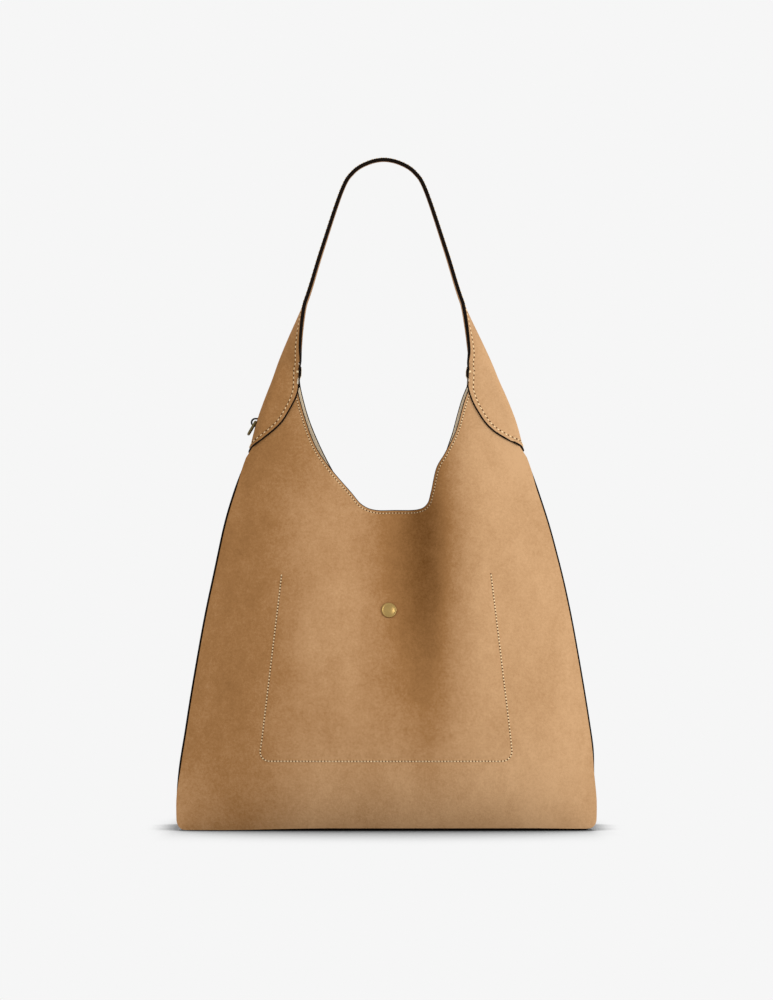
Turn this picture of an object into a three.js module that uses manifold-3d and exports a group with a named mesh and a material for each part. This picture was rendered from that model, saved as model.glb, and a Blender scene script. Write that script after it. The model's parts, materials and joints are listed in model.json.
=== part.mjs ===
// A large slouchy hobo bag in tan suede, standing on its base with the strap raised.
//
// Millimetres, +Z up. The origin is the middle of the base, on the surface the bag stands on.
// The front of the bag faces -Y. Two panels, folded gussets at the sides and a flat base make the
// body; the panels rise into a horn at each side, and one two-layer strap runs from horn to horn.

import * as THREE from 'three';
import { mergeVertices } from 'three/addons/utils/BufferGeometryUtils.js';
import Module from 'manifold-3d';

// ---- Driving dimensions -----------------------------------------------------------------------

const LEATHER = 2.0; // thickness of the outer suede
const THIN_LEATHER = 1.4; // pocket and mouth facing
const STRAP_LEATHER = 1.4; // each of the strap's two layers
const CLEARANCE = 0.3; // between two layers that touch
const COVER_GAP = 1.1; // between a strap end and the horn that it covers

const HEM = 2.6; // height of the panels' lower edge
const HORN_TOP = 421; // height at which the horns end, inside the strap
const CORNER_RADIUS = 10; // of the panels' lower corners
const CORNER_SHARE = 0.34; // share of the hem line that runs down one side, to the corner

const FACING_WIDTH = 12; // of the strip behind each mouth edge
const GUSSET_TOP = 398;
const WELT_START = 0.058; // share of the hem line above each end of a welt

const STRAP_HALF = 25; // half of the strap's width
const STRAP_END_TOP = 425; // height where the stitched strap ends stop
const STRAP_HINGE = 452; // height at which the strap's legs bend when it falls
const HINGE_RADIUS = 22.5; // of the rounded lower end of the moving legs
const FLAT_HEIGHT = 486; // the strap lies flat above this and is folded lengthwise below
const FULL_FOLD = 76; // degrees that each half is folded back at FOLD_START
const FOLD_START = 408;
const FOLD_ROUND = 8; // softens the fold line
const LINING_GAP = 0.9; // between the strap's two layers
const HORN_ROUND = 9; // radius at which a strap end turns round the horn's outer edge
const STRAP_LEAN = -2.5; // sideways lean of the raised strap
const STRAP_START = 0.012; // share of the strap's path below each end of the moving strap

const SEAM_STACK = 5.3; // panel, welt and gusset edge, one behind the other
const WELT_RADIUS = 1.0;

const POCKET = { bottom: 60, top: 235, leftLow: -118, rightLow: 116, taper: 0.112, round: 14 };
const POCKET_GAP = 0.9;
const POCKET_FULL = 9; // how far the pouch stands off the panel
const SNAP = { x: 2.2, z: 201, radius: 7, stand: 4.4 }; // stand: panel's inside to pocket
const POST_RADIUS = 1.6;
const SNAP_GAP = 0.5; // between a snap part and the leather it is set in

const RING = { x: -121.3, z: 374.4, wire: 1.3, half: 10, drop: 14.5, lean: 20 };
const TAB_WIDTH = 12;

// [height, half-width] of the bag's outline: base, body, horns, then the strap's outer fold.
const OUTLINE = [
  [0, 194], [20, 195], [60, 192.3], [100, 186.3], [155, 177], [200, 168.8], [247, 158], [284, 149],
  [312, 140.3], [350, 126.8], [376, 118], [395, 112.5], [413, 105.5], [431, 98.5], [450, 90],
  [468, 81.5], [487, 73.5],
];
// [height, distance from the middle plane] of the side seams, and of the fullest part of a panel.
const SEAM_DEPTH = [[0, 60], [100, 54], [200, 43], [300, 28], [350, 18.5], [400, 8.5], [430, 5.5]];
const CROWN_DEPTH = [[0, 66], [40, 75], [90, 78], [160, 70], [220, 58], [293, 40], [350, 26.5],
  [400, 13], [430, 9.5]];
// [x, z] along the mouth of the front panel, from the left horn to the right.
const FRONT_MOUTH = [
  [-81.5, 421], [-82, 407], [-76, 380], [-66, 353], [-52.3, 332.5], [-33, 310], [-23, 298.5],
  [-11, 293.3], [8, 293], [27, 293.6], [36.5, 299], [40.5, 310], [46, 332], [54, 346], [64, 366],
  [71, 392], [76, 409], [78, 421],
];
const BACK_MOUTH = [
  [-81, 421], [-80, 407], [-73, 380], [-63, 355], [-51.5, 332], [-40, 313], [-27, 298],
  [-12, 289], [6, 287.5], [24, 290], [36, 299], [43.5, 312], [51.5, 333], [56.5, 350],
  [61.5, 365], [65.5, 380], [69.5, 395], [73.5, 407], [78.5, 421],
];
// [distance round the leather from the outer fold, height] of each strap end's lower edge.
const STRAP_END_EDGES = {
  left: [
    [26.3, 417], [29.8, 408.5], [32.5, 400], [33.4, 390], [33.2, 381], [32.4, 375], [29.2, 367.8],
    [23.6, 361], [18, 355.5], [9, 350.5], [0, 348.5],
  ],
  right: [
    [29.5, 417], [35, 408.5], [38, 400], [39.2, 389], [38.4, 377], [35.4, 368], [29.1, 361.5],
    [21.4, 356], [14, 352.5], [7, 350], [0, 348.5],
  ],
};
// [x, z] along the outside of the raised strap, from the left leg to the top.
const STRAP_LEG = [[-105.5, 413], [-90, 450], [-73.5, 487], [-59, 533], [-40.4, 588], [-29.8, 605.6],
  [-16, 614.6]];
const STRAP_APEX = [0, 618];

// ---- Materials --------------------------------------------------------------------------------

const SUEDE = { color: 0xb98d60, roughness: 0.95 };
const SUEDE_REVERSE = { color: 0xa08a70, roughness: 0.95 };
const EDGE_PAINT = { color: 0x14100c, roughness: 0.45 };
const BRASS = { color: 0xb4934f, roughness: 0.35, metalness: 1 };
const THREAD = { color: 0xdcc29a, roughness: 0.8 };

const bag = new THREE.Group();

function addPiece(name, geometry, finish, parent = bag) {
  const mesh = new THREE.Mesh(geometry, new THREE.MeshStandardMaterial(finish));
  mesh.name = name;
  parent.add(mesh);
  return mesh;
}

// ---- Curves and helpers -----------------------------------------------------------------------

const { clamp, lerp, smoothstep, degToRad } = THREE.MathUtils;

function through(table) {
  const keys = table.map(([key]) => key);
  const values = table.map(([, value]) => value);
  const curve = new THREE.CubicInterpolant(keys, values, 1);
  return (key) => curve.evaluate(clamp(key, keys[0], keys[keys.length - 1]))[0];
}

function spline(points) {
  return new THREE.SplineCurve(points.map(([x, y]) => new THREE.Vector2(x, y)));
}

const outlineHalf = through(OUTLINE);
const seamDepth = through(SEAM_DEPTH);
const crownDepth = through(CROWN_DEPTH);
const frontMouth = spline(FRONT_MOUTH);
const backMouth = spline(BACK_MOUTH);
const strapEndEdges = { left: spline(STRAP_END_EDGES.left), right: spline(STRAP_END_EDGES.right) };
const strapPath = spline([
  ...STRAP_LEG,
  STRAP_APEX,
  ...STRAP_LEG.map(([x, z]) => [-x, z]).reverse(),
]);

// Where the black welt shows outside the panel: 1 along the sides, 0 at the corners and horns.
function weltShows(z) {
  return smoothstep(z, 25, 60) * (1 - smoothstep(z, 312, 335));
}

// Half-width of the panels themselves: the outline less the welt, and narrower inside the strap.
function panelHalf(z) {
  return outlineHalf(z) - 1.9 * weltShows(z) - 11 * smoothstep(z, 334, 348);
}

// ---- The panels' relief -----------------------------------------------------------------------

function fullness(x, z) {
  const share = clamp(Math.abs(x) / panelHalf(z), 0, 1);
  return 1 - share ** 3;
}

function bump(x, centre, leftSpread, rightSpread) {
  const spread = x < centre ? leftSpread : rightSpread;
  return Math.exp(-(((x - centre) / spread) ** 2));
}

// Distance of the front panel's outside from the middle plane. The mouth falls in along a valley
// with a steep right flank, which dies away towards the base.
function frontDepth(x, z) {
  const rise = smoothstep(z, 60, 300);
  const slack = rise * (1 - smoothstep(z, 330, 410));
  const valley = -19 * rise * bump(x, 30 - z * 0.045, 62, 27);
  const rightRoll = 7 * slack * bump(x, 84, 34, 46);
  const leftRoll = 6 * slack * bump(x, -70, 70, 55);
  const full = fullness(x, z);
  return lerp(seamDepth(z), crownDepth(z), full) + (valley + rightRoll + leftRoll) * full;
}

// The back panel is slack too, with one soft valley left of its middle.
function backDepth(x, z) {
  const rise = smoothstep(z, 80, 300);
  const valley = -9 * rise * bump(x, -22, 50, 60);
  const full = fullness(x, z);
  return lerp(seamDepth(z), crownDepth(z), full) + valley * full;
}

// ---- Sheets of leather ------------------------------------------------------------------------

// Bends a subdivided slab into the sheet surface(u, v), from depth `from` to depth `to` along the
// surface's normal. The normal is dv x du, so it turns with the direction of u and v.
function bentSheet(surface, columns, rows, from, to) {
  const slab = new THREE.BoxGeometry(1, 1, 1, columns, 1, rows);
  const place = slab.attributes.position;
  const step = 1e-3;
  for (let i = 0; i < place.count; i++) {
    const u = place.getX(i) + 0.5;
    const v = place.getZ(i) + 0.5;
    const depth = lerp(from, to, place.getY(i) + 0.5);
    const [u0, u1] = [Math.max(u - step, 0), Math.min(u + step, 1)];
    const [v0, v1] = [Math.max(v - step, 0), Math.min(v + step, 1)];
    const alongU = surface(u1, v).sub(surface(u0, v));
    const alongV = surface(u, v1).sub(surface(u, v0));
    const normal = alongV.cross(alongU).normalize();
    const point = surface(u, v).addScaledVector(normal, depth);
    place.setXYZ(i, point.x, point.y, point.z);
  }
  slab.computeVertexNormals();
  return slab;
}

// A point on the panels' outer edge: u runs down the left side, along the hem and up the right.
function hemPoint(u) {
  const side = u < 0.5 ? -1 : 1;
  const along = Math.min(u, 1 - u);
  if (along > CORNER_SHARE) {
    const corner = panelHalf(HEM) - CORNER_RADIUS;
    const share = (along - CORNER_SHARE) / (0.5 - CORNER_SHARE);
    return new THREE.Vector2(side * corner * (1 - share), HEM);
  }
  const z = lerp(HEM, HORN_TOP, (1 - along / CORNER_SHARE) ** 1.5);
  const low = clamp(1 - (z - HEM) / CORNER_RADIUS, 0, 1);
  const cut = CORNER_RADIUS * (1 - Math.sqrt(1 - low * low));
  return new THREE.Vector2(side * (panelHalf(z) - cut), z);
}

// A panel is lofted from its mouth (v = 0) to its outer edge (v = 1).
function panelSurface(mouth, depth, facing) {
  return (u, v) => {
    const flat = mouth.getPointAt(u).lerp(hemPoint(u), v);
    return new THREE.Vector3(flat.x, facing * depth(flat.x, flat.y), flat.y);
  };
}

// The strip of a panel within `width` of its mouth.
function mouthStrip(mouth, depth, facing, width) {
  return (u, v) => {
    const rim = mouth.getPointAt(u);
    const reach = hemPoint(u).sub(rim);
    const flat = rim.addScaledVector(reach, (v * width) / reach.length());
    return new THREE.Vector3(flat.x, facing * depth(flat.x, flat.y), flat.y);
  };
}

// ---- Cuts: the hole that the snap's posts go through, and the strap's lower ends --------------

const wasm = await Module();
wasm.setup();

function toManifold(geometry) {
  const bare = geometry.clone();
  bare.deleteAttribute('normal');
  bare.deleteAttribute('uv');
  const merged = mergeVertices(bare, 1e-3);
  return new wasm.Manifold(new wasm.Mesh({
    numProp: 3,
    vertProperties: new Float32Array(merged.attributes.position.array),
    triVerts: new Uint32Array(merged.index.array),
  }));
}

function fromManifold(solid) {
  const mesh = solid.getMesh();
  const geometry = new THREE.BufferGeometry();
  geometry.setAttribute('position', new THREE.BufferAttribute(mesh.vertProperties, 3));
  geometry.setIndex(new THREE.BufferAttribute(mesh.triVerts, 1));
  geometry.computeVertexNormals();
  return geometry;
}

function pierced(geometry, cutter) {
  return fromManifold(toManifold(geometry).subtract(toManifold(cutter)));
}

// ---- Where the snap sits ----------------------------------------------------------------------

const snapAxis = (() => {
  const step = 0.5;
  const at = (x, z) => new THREE.Vector3(x, -frontDepth(x, z), z);
  const across = at(SNAP.x + step, SNAP.z).sub(at(SNAP.x - step, SNAP.z));
  const up = at(SNAP.x, SNAP.z + step).sub(at(SNAP.x, SNAP.z - step));
  return across.cross(up).normalize();
})();
const snapPlace = new THREE.Group();
snapPlace.position.set(SNAP.x, -frontDepth(SNAP.x, SNAP.z), SNAP.z);
snapPlace.quaternion.setFromUnitVectors(new THREE.Vector3(0, 1, 0), snapAxis);
snapPlace.updateMatrix();
bag.add(snapPlace);

function postHole() {
  const bore = POST_RADIUS + CLEARANCE;
  const drill = new THREE.CylinderGeometry(bore, bore, 40, 16);
  return drill.applyMatrix4(snapPlace.matrix);
}

// ---- Body -------------------------------------------------------------------------------------

function addPanels() {
  const front = bentSheet(panelSurface(frontMouth, frontDepth, -1), 50, 8, -LEATHER, 0);
  addPiece('front_panel', pierced(front, postHole()), SUEDE);
  const back = bentSheet(panelSurface(backMouth, backDepth, 1), 50, 8, 0, LEATHER);
  addPiece('back_panel', back, SUEDE);
}

// A facing strip backs each panel's topstitched mouth from inside.
function addMouthFacings() {
  const near = LEATHER + COVER_GAP;
  const far = near + THIN_LEATHER;
  const front = mouthStrip(frontMouth, frontDepth, -1, FACING_WIDTH);
  addPiece('front_mouth_facing', bentSheet(front, 50, 1, -far, -near), SUEDE_REVERSE);
  const back = mouthStrip(backMouth, backDepth, 1, FACING_WIDTH);
  addPiece('back_mouth_facing', bentSheet(back, 50, 1, near, far), SUEDE_REVERSE);
}

// Each gusset joins the side seams and folds inwards along its middle.
function addGussets() {
  const floor = HEM + 0.4;
  const foldIn = through([[0, 5], [60, 17], [150, 29], [250, 28], [330, 14], [400, 2]]);
  for (const [name, side] of [['left_gusset', -1], ['right_gusset', 1]]) {
    const surface = (u, v) => {
      const z = lerp(floor, GUSSET_TOP, v);
      const across = 2 * u - 1;
      const crease = 1 - Math.sqrt(across * across + 0.01) / Math.sqrt(1.01);
      const low = clamp(1 - (z - HEM) / CORNER_RADIUS, 0, 1);
      const cut = CORNER_RADIUS * (1 - Math.sqrt(1 - low * low));
      const x = panelHalf(z) - 0.5 - cut * across ** 6 - foldIn(z) * crease;
      return new THREE.Vector3(side * x, across * (seamDepth(z) - SEAM_STACK), z);
    };
    const depths = side < 0 ? [-LEATHER, 0] : [0, LEATHER];
    addPiece(name, bentSheet(surface, 8, 16, ...depths), SUEDE);
  }
}

// The base is a flat panel with rounded corners, and the bag rests on it.
function addBase() {
  const halfLength = panelHalf(HEM) - 3;
  const round = 12;
  const halfDepth = (x) => frontDepth(x, HEM) - SEAM_STACK - 0.2;
  const straight = halfLength - round;
  const bow = [-1, -0.67, -0.33, 0, 0.33, 0.67, 1].map((share) => share * straight);
  const corner = halfDepth(straight) - round;
  const shape = new THREE.Shape();
  shape.moveTo(-straight, -halfDepth(straight));
  shape.splineThru(bow.slice(1).map((x) => new THREE.Vector2(x, -halfDepth(x))));
  shape.absarc(straight, -corner, round, -Math.PI / 2, 0);
  shape.absarc(straight, corner, round, 0, Math.PI / 2);
  shape.splineThru(bow.slice(0, -1).reverse().map((x) => new THREE.Vector2(x, halfDepth(x))));
  shape.absarc(-straight, corner, round, Math.PI / 2, Math.PI);
  shape.absarc(-straight, -corner, round, Math.PI, 1.5 * Math.PI);
  const slab = new THREE.ExtrudeGeometry(shape, {
    depth: LEATHER, bevelEnabled: false, curveSegments: 4,
  });
  addPiece('base_panel', slab, SUEDE);
}

// A black-edged welt follows each panel's outer edge, down one side, under the hem and up again.
function addWelts() {
  const steps = 56;
  const circle = new THREE.Shape().absarc(0, 0, WELT_RADIUS, 0, 2 * Math.PI);
  const seams = [['front_welt', -1, frontDepth], ['back_welt', 1, backDepth]];
  for (const [name, facing, depth] of seams) {
    const points = [];
    for (let i = 0; i <= steps; i++) {
      const u = lerp(WELT_START, 1 - WELT_START, i / steps);
      const edge = hemPoint(u);
      const ahead = hemPoint(u + 1e-3).sub(hemPoint(u - 1e-3)).normalize();
      const outward = new THREE.Vector2(ahead.y, -ahead.x);
      const underHem = edge.y < HEM + 0.1;
      const hemShows = underHem ? 1 - smoothstep(Math.abs(edge.x), 165, 184) : 0;
      const proud = lerp(lerp(-1.2, 0.9, weltShows(edge.y)), 1.4, hemShows);
      const y = depth(edge.x, edge.y) - LEATHER - 0.5 - WELT_RADIUS; // just behind the panel
      const at = edge.addScaledVector(outward, proud);
      points.push(new THREE.Vector3(at.x, facing * y, Math.max(at.y, 1.3)));
    }
    const tube = new THREE.ExtrudeGeometry(circle, {
      extrudePath: new THREE.CatmullRomCurve3(points), steps: 60, curveSegments: 3,
      bevelEnabled: false,
    });
    addPiece(name, tube, EDGE_PAINT);
  }
}

// ---- Pocket and its snap ----------------------------------------------------------------------

function pocketSurface(u, v) {
  const z = lerp(POCKET.bottom, POCKET.top, v);
  const lift = z - POCKET.bottom;
  const low = clamp(1 - lift / POCKET.round, 0, 1);
  const cut = POCKET.round * (1 - Math.sqrt(1 - low * low));
  const left = POCKET.leftLow + lift * POCKET.taper + cut;
  const right = POCKET.rightLow - lift * POCKET.taper - cut;
  const x = lerp(left, right, u);
  const edge = (1 - (2 * u - 1) ** 4) * smoothstep(v, 0, 0.4);
  const offCentre = Math.hypot(x - SNAP.x, z - SNAP.z);
  const held = Math.exp(-((offCentre / 36) ** 2)) * (POCKET_FULL - SNAP.stand + POCKET_GAP);
  const y = -frontDepth(x, z) + LEATHER + POCKET_GAP + edge * (POCKET_FULL - held);
  return new THREE.Vector3(x, y, z);
}

function addPocket() {
  const sheet = bentSheet(pocketSurface, 14, 10, 0, THIN_LEATHER);
  addPiece('pocket_panel', pierced(sheet, postHole()), SUEDE_REVERSE);
}

// Snap parts are turned about the snap's axis; heights count outwards from the panel's outside.
function turned(profile) {
  const points = profile.map(([radius, height]) => new THREE.Vector2(radius, height));
  return new THREE.LatheGeometry(points, 12);
}

function addSnap() {
  const inside = -LEATHER - SNAP_GAP;
  const pocketFace = -LEATHER - SNAP.stand;
  const pocketBack = pocketFace - THIN_LEATHER - SNAP_GAP;
  const knobEnd = inside - 2.4;
  addPiece('snap_cap', turned([
    [0, inside - 1.6], [POST_RADIUS, inside - 1.6], [POST_RADIUS, 0.4], [SNAP.radius, 0.4],
    [SNAP.radius, 1.1], [6.3, 1.6], [5.6, 1.5], [4, 1.9], [2, 2.15], [0, 2.2],
  ]), BRASS, snapPlace);
  addPiece('snap_stud', turned([
    [0, knobEnd], [2.2, knobEnd], [2.7, knobEnd + 0.8], [2.4, inside - 1], [5.6, inside - 0.9],
    [5.6, inside], [1.95, inside], [1.95, inside - 1.9], [0, inside - 1.9],
  ]), BRASS, snapPlace);
  addPiece('snap_socket', turned([
    [1.95, pocketFace + 0.5], [6, pocketFace + 0.5], [6, inside - 1.5], [5.2, inside - 1.2],
    [3.1, inside - 1.4], [3.1, pocketFace + 1.2], [1.95, pocketFace + 1.2], [1.95, pocketFace + 0.5],
  ]), BRASS, snapPlace);
  addPiece('snap_socket_cap', turned([
    [0, pocketBack - 1.6], [2.5, pocketBack - 1.5], [5.2, pocketBack - 1.0],
    [6.2, pocketBack - 0.4], [6.2, pocketBack], [POST_RADIUS, pocketBack],
    [POST_RADIUS, pocketFace + 0.9], [0, pocketFace + 0.9],
  ]), BRASS, snapPlace);
}

// ---- Strap ------------------------------------------------------------------------------------

// One half of the folded strap at height z: how far a point lies inwards from the outer fold and
// away from the middle plane, when it is `around` from the fold, measured round the leather.
function foldedStrap(around, z) {
  const closing = clamp((z - FOLD_START) / (FLAT_HEIGHT - FOLD_START), 0, 1);
  const angle = degToRad(FULL_FOLD) * (1 - closing) ** 1.35;
  const rounded = (distance) => Math.hypot(distance, FOLD_ROUND) - FOLD_ROUND;
  const inward = (STRAP_HALF * rounded(around)) / rounded(STRAP_HALF);
  return new THREE.Vector2(Math.sin(angle) * inward, Math.cos(angle) * around);
}

// The same for a strap end, which wraps a horn: a rounded corner, then flat on the panel.
function wrappedHorn(around, z, depth) {
  const fold = outlineHalf(z);
  const cover = (inward) => depth(fold - inward, z) + COVER_GAP + LEATHER;
  const turn = 9; // steps round the corner
  const stride = 1.5; // length of a step beyond it
  let last = new THREE.Vector2(0, 0);
  let travelled = 0;
  for (let step = 1; step < 60; step++) {
    const angle = (Math.min(step, turn) * Math.PI) / 2 / turn;
    const turning = HORN_ROUND * (1 - Math.cos(angle));
    const inward = step <= turn ? turning : HORN_ROUND + (step - turn) * stride;
    const next = new THREE.Vector2(inward, cover(Math.max(inward, HORN_ROUND)) * Math.sin(angle));
    const length = next.distanceTo(last);
    if (travelled + length >= around) {
      return last.lerp(next, (around - travelled) / length);
    }
    travelled += length;
    last = next;
  }
  return last;
}

// Outside of a strap end: u runs round the fold from the front edge to the back, v from the
// rounded lower edge up to the strap.
function strapEndSurface(side) {
  const lowerEdge = side < 0 ? strapEndEdges.left : strapEndEdges.right;
  return (u, v) => {
    const across = 2 * u - 1;
    const [edgeAround, edgeHeight] = lowerEdge.getPointAt(1 - Math.abs(across)).toArray();
    const ease = 0.4 * smoothstep(v, 0, 1) + 0.6 * v;
    const around = lerp(edgeAround, STRAP_HALF * Math.abs(across), ease);
    const z = lerp(edgeHeight, STRAP_END_TOP, v);
    const place = wrappedHorn(around, z, across < 0 ? frontDepth : backDepth);
    const x = outlineHalf(z) - place.x;
    return new THREE.Vector3(side * x, Math.sign(across) * place.y, z);
  };
}

function addStrapEnds() {
  addPiece('left_strap_end', bentSheet(strapEndSurface(-1), 28, 10, -LEATHER, 0), SUEDE);
  addPiece('right_strap_end', bentSheet(strapEndSurface(1), 28, 10, 0, LEATHER), SUEDE);
}

// Outside of the raised strap: u runs over the top from leg to leg, v from front to back.
function strapSurface(u, v) {
  const across = 2 * v - 1;
  const at = strapPath.getPointAt(lerp(STRAP_START, 1 - STRAP_START, u));
  const side = at.x < 0 ? -1 : 1;
  const folded = foldedStrap(Math.abs(across) * STRAP_HALF, at.y);
  const leaning = STRAP_LEAN * smoothstep(at.y, 400, 487);
  return new THREE.Vector3(at.x - side * folded.x + leaning, Math.sign(across) * folded.y, at.y);
}

// What the moving strap keeps: everything above the hinge line, and a round end below it.
function hingeTrim() {
  const disc = new THREE.CylinderGeometry(HINGE_RADIUS, HINGE_RADIUS, 400, 32);
  disc.rotateZ(Math.PI / 2);
  disc.translate(0, 0, STRAP_HINGE);
  const above = new THREE.BoxGeometry(400, 80, 300);
  above.translate(0, 0, STRAP_HINGE + 150);
  return toManifold(disc).add(toManifold(above));
}

function trimmedAtHinge(geometry) {
  return fromManifold(toManifold(geometry).intersect(hingeTrim()));
}

function addStrap() {
  const lining = STRAP_LEATHER + LINING_GAP;
  const outer = bentSheet(strapSurface, 44, 6, 0, STRAP_LEATHER);
  addPiece('strap_outer', trimmedAtHinge(outer), SUEDE);
  const inner = bentSheet(strapSurface, 44, 6, lining, lining + STRAP_LEATHER);
  addPiece('strap_lining', trimmedAtHinge(inner), SUEDE);
}

// A bar-tack of thread locks each edge of the strap end to the horn.
function addBarTacks() {
  const height = 419.5;
  for (const [end, side] of [['left', -1], ['right', 1]]) {
    for (const [face, facing] of [['front', -1], ['back', 1]]) {
      const folded = wrappedHorn(STRAP_HALF, height, frontDepth);
      const tack = new THREE.CapsuleGeometry(0.7, 3.6, 3, 8);
      tack.rotateZ(Math.PI / 2);
      const mesh = addPiece(`${end}_${face}_bar_tack`, tack, THREAD);
      const x = outlineHalf(height) - folded.x + 1;
      mesh.position.set(side * x, facing * (folded.y + 2.7), height);
    }
  }
}

// ---- Ring -------------------------------------------------------------------------------------

// A short leather tab comes through the left strap end and holds the ring's straight bar.
function addRingTab() {
  const inner = RING.wire + 0.6;
  const outer = inner + 1.7;
  const legs = [3.2, 0.7]; // how far the upper and lower leg reach back to the strap end
  const loop = new THREE.Shape();
  loop.moveTo(legs[0], outer);
  loop.lineTo(0, outer);
  loop.absarc(0, 0, outer, Math.PI / 2, 1.5 * Math.PI);
  loop.lineTo(legs[1], -outer);
  loop.lineTo(legs[1], -inner);
  loop.absarc(0, 0, inner, 1.5 * Math.PI, Math.PI / 2, true);
  loop.lineTo(legs[0], inner);
  loop.closePath();
  const tab = new THREE.ExtrudeGeometry(loop, {
    depth: TAB_WIDTH, bevelEnabled: false, curveSegments: 6,
  });
  tab.translate(0, 0, -TAB_WIDTH / 2);
  tab.rotateX(Math.PI / 2);
  addPiece('ring_tab', tab, SUEDE).position.set(RING.x, 0, RING.z);
}

// The ring is a torus whose centre line is drawn out into a D with its straight bar on top.
function addRing() {
  const straight = 0.5;
  const torus = new THREE.TorusGeometry(RING.half, RING.wire, 8, 24);
  const place = torus.attributes.position;
  const centre = (angle) => {
    const flat = Math.sin(angle) > 0 ? straight : RING.drop - RING.wire;
    const wide = Math.sign(Math.cos(angle)) * Math.abs(Math.cos(angle)) ** 0.7;
    return new THREE.Vector2((RING.half - RING.wire) * wide, flat * Math.sin(angle));
  };
  for (let i = 0; i < place.count; i++) {
    const at = new THREE.Vector3().fromBufferAttribute(place, i);
    const angle = Math.atan2(at.y, at.x);
    const out = Math.hypot(at.x, at.y) - RING.half;
    const ahead = centre(angle + 0.02).sub(centre(angle - 0.02)).normalize();
    const line = centre(angle);
    place.setXYZ(i, line.x + ahead.y * out, line.y - ahead.x * out, at.z);
  }
  torus.computeVertexNormals();
  const mesh = addPiece('d_ring', torus, BRASS);
  mesh.position.set(RING.x, 0, RING.z);
  const lean = degToRad(RING.lean);
  mesh.setRotationFromMatrix(new THREE.Matrix4().makeBasis(
    new THREE.Vector3(0, 1, 0),
    new THREE.Vector3(Math.sin(lean), 0, Math.cos(lean)),
    new THREE.Vector3(Math.cos(lean), 0, -Math.sin(lean)),
  ));
}

addPanels();
addMouthFacings();
addGussets();
addBase();
addWelts();
addPocket();
addSnap();
addStrapEnds();
addStrap();
addBarTacks();
addRingTab();
addRing();

export default bag;
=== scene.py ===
"""A slouchy suede hobo bag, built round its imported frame: panels, gussets, strap, seams and fittings."""

import json
import math

import bpy
import numpy as np
from bpy.props import FloatProperty, FloatVectorProperty, PointerProperty
from mathutils import Matrix, Vector


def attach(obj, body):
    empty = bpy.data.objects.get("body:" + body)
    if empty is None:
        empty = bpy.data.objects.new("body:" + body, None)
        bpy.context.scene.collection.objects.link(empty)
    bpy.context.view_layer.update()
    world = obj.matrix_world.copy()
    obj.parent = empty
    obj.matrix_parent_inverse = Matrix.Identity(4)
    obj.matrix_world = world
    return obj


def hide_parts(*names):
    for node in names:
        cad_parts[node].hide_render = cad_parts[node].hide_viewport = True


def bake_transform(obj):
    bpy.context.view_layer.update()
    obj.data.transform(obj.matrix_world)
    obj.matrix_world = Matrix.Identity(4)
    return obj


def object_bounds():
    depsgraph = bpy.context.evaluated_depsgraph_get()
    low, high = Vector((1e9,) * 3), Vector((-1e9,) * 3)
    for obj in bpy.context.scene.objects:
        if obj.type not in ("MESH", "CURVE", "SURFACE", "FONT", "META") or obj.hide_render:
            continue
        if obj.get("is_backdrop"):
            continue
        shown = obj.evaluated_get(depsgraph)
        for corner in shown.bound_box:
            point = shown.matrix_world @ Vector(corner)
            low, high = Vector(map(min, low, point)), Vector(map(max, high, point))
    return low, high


bl_info = {
    "name": "Suede Hobo Bag",
    "version": (1, 0, 0),
    "blender": (4, 5, 0),
    "location": "View3D > Sidebar > Bag",
    "description": "Models a slouchy suede hobo bag piece by piece",
    "category": "Add Mesh",
}

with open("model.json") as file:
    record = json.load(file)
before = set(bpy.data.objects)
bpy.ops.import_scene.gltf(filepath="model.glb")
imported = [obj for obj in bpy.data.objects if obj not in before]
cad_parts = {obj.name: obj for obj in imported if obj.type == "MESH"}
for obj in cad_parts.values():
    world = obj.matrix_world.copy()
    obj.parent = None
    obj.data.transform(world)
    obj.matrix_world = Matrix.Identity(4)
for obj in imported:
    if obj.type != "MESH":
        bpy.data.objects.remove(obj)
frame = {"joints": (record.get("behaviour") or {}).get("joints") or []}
CAD_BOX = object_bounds()
JOINTS = {joint["name"]: Vector(joint["pos_m"]) for joint in frame["joints"]}
STRAP_HINGE = JOINTS["strap_fall"]
RING_BAR = JOINTS["ring_swing"]
STRAP_TOP = CAD_BOX[1][2]

# ---- The bag's shape, in metres: front towards -Y, base on the floor ------------------------------

HEM = 0.0026  # height of the panels' lower edge
HEM_DROPS = (0.0018, 0.0006)  # how much lower that edge is at its left and right corners
HORN_TOP = 0.421
CORNER_RADIUS = 0.0075
CORNER_SHARE = 0.34
COVER_GAP = 0.0002  # between layers that lie on each other
WELT_HALF = 0.00105
FACING_WIDTH = 0.012
GUSSET_TOP = 0.398
STRAP_HALF = 0.025
FLAT_HEIGHT = 0.486  # the strap is flat above this and folded lengthwise below
FOLD_START = 0.408
FULL_FOLD = math.radians(76)
FOLD_ROUND = 0.008
HORN_ROUND = 0.009
BODY_SWAY = 0.0016  # how far the middle of the body's height is moved to the right
SQUARENESS = 0.6  # below 1 the turn round a horn is squarer than an ellipse
STRAP_END_TOP = 0.438
STRAP_LEAN = -0.0025  # how far both legs lean to the left
STRAP_TILT = 0.045  # rise towards the back across the top of the strap
POCKET_BOTTOM = 0.0632
POCKET_TOP = 0.235
POCKET_LEFT = -0.1178
POCKET_RIGHT = 0.1144
POCKET_TAPER = 0.112
POCKET_ROUND = 0.010
POCKET_FULL = 0.009
SNAP_X = 0.0006
SNAP_Z = 0.2016
SNAP_STAND = 0.0044
RING_HALF = 0.010
RING_WIRE = 0.0013  # radius of the ring's wire
RING_DROP = 0.0138
RING_LEAN = math.radians(30)

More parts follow.
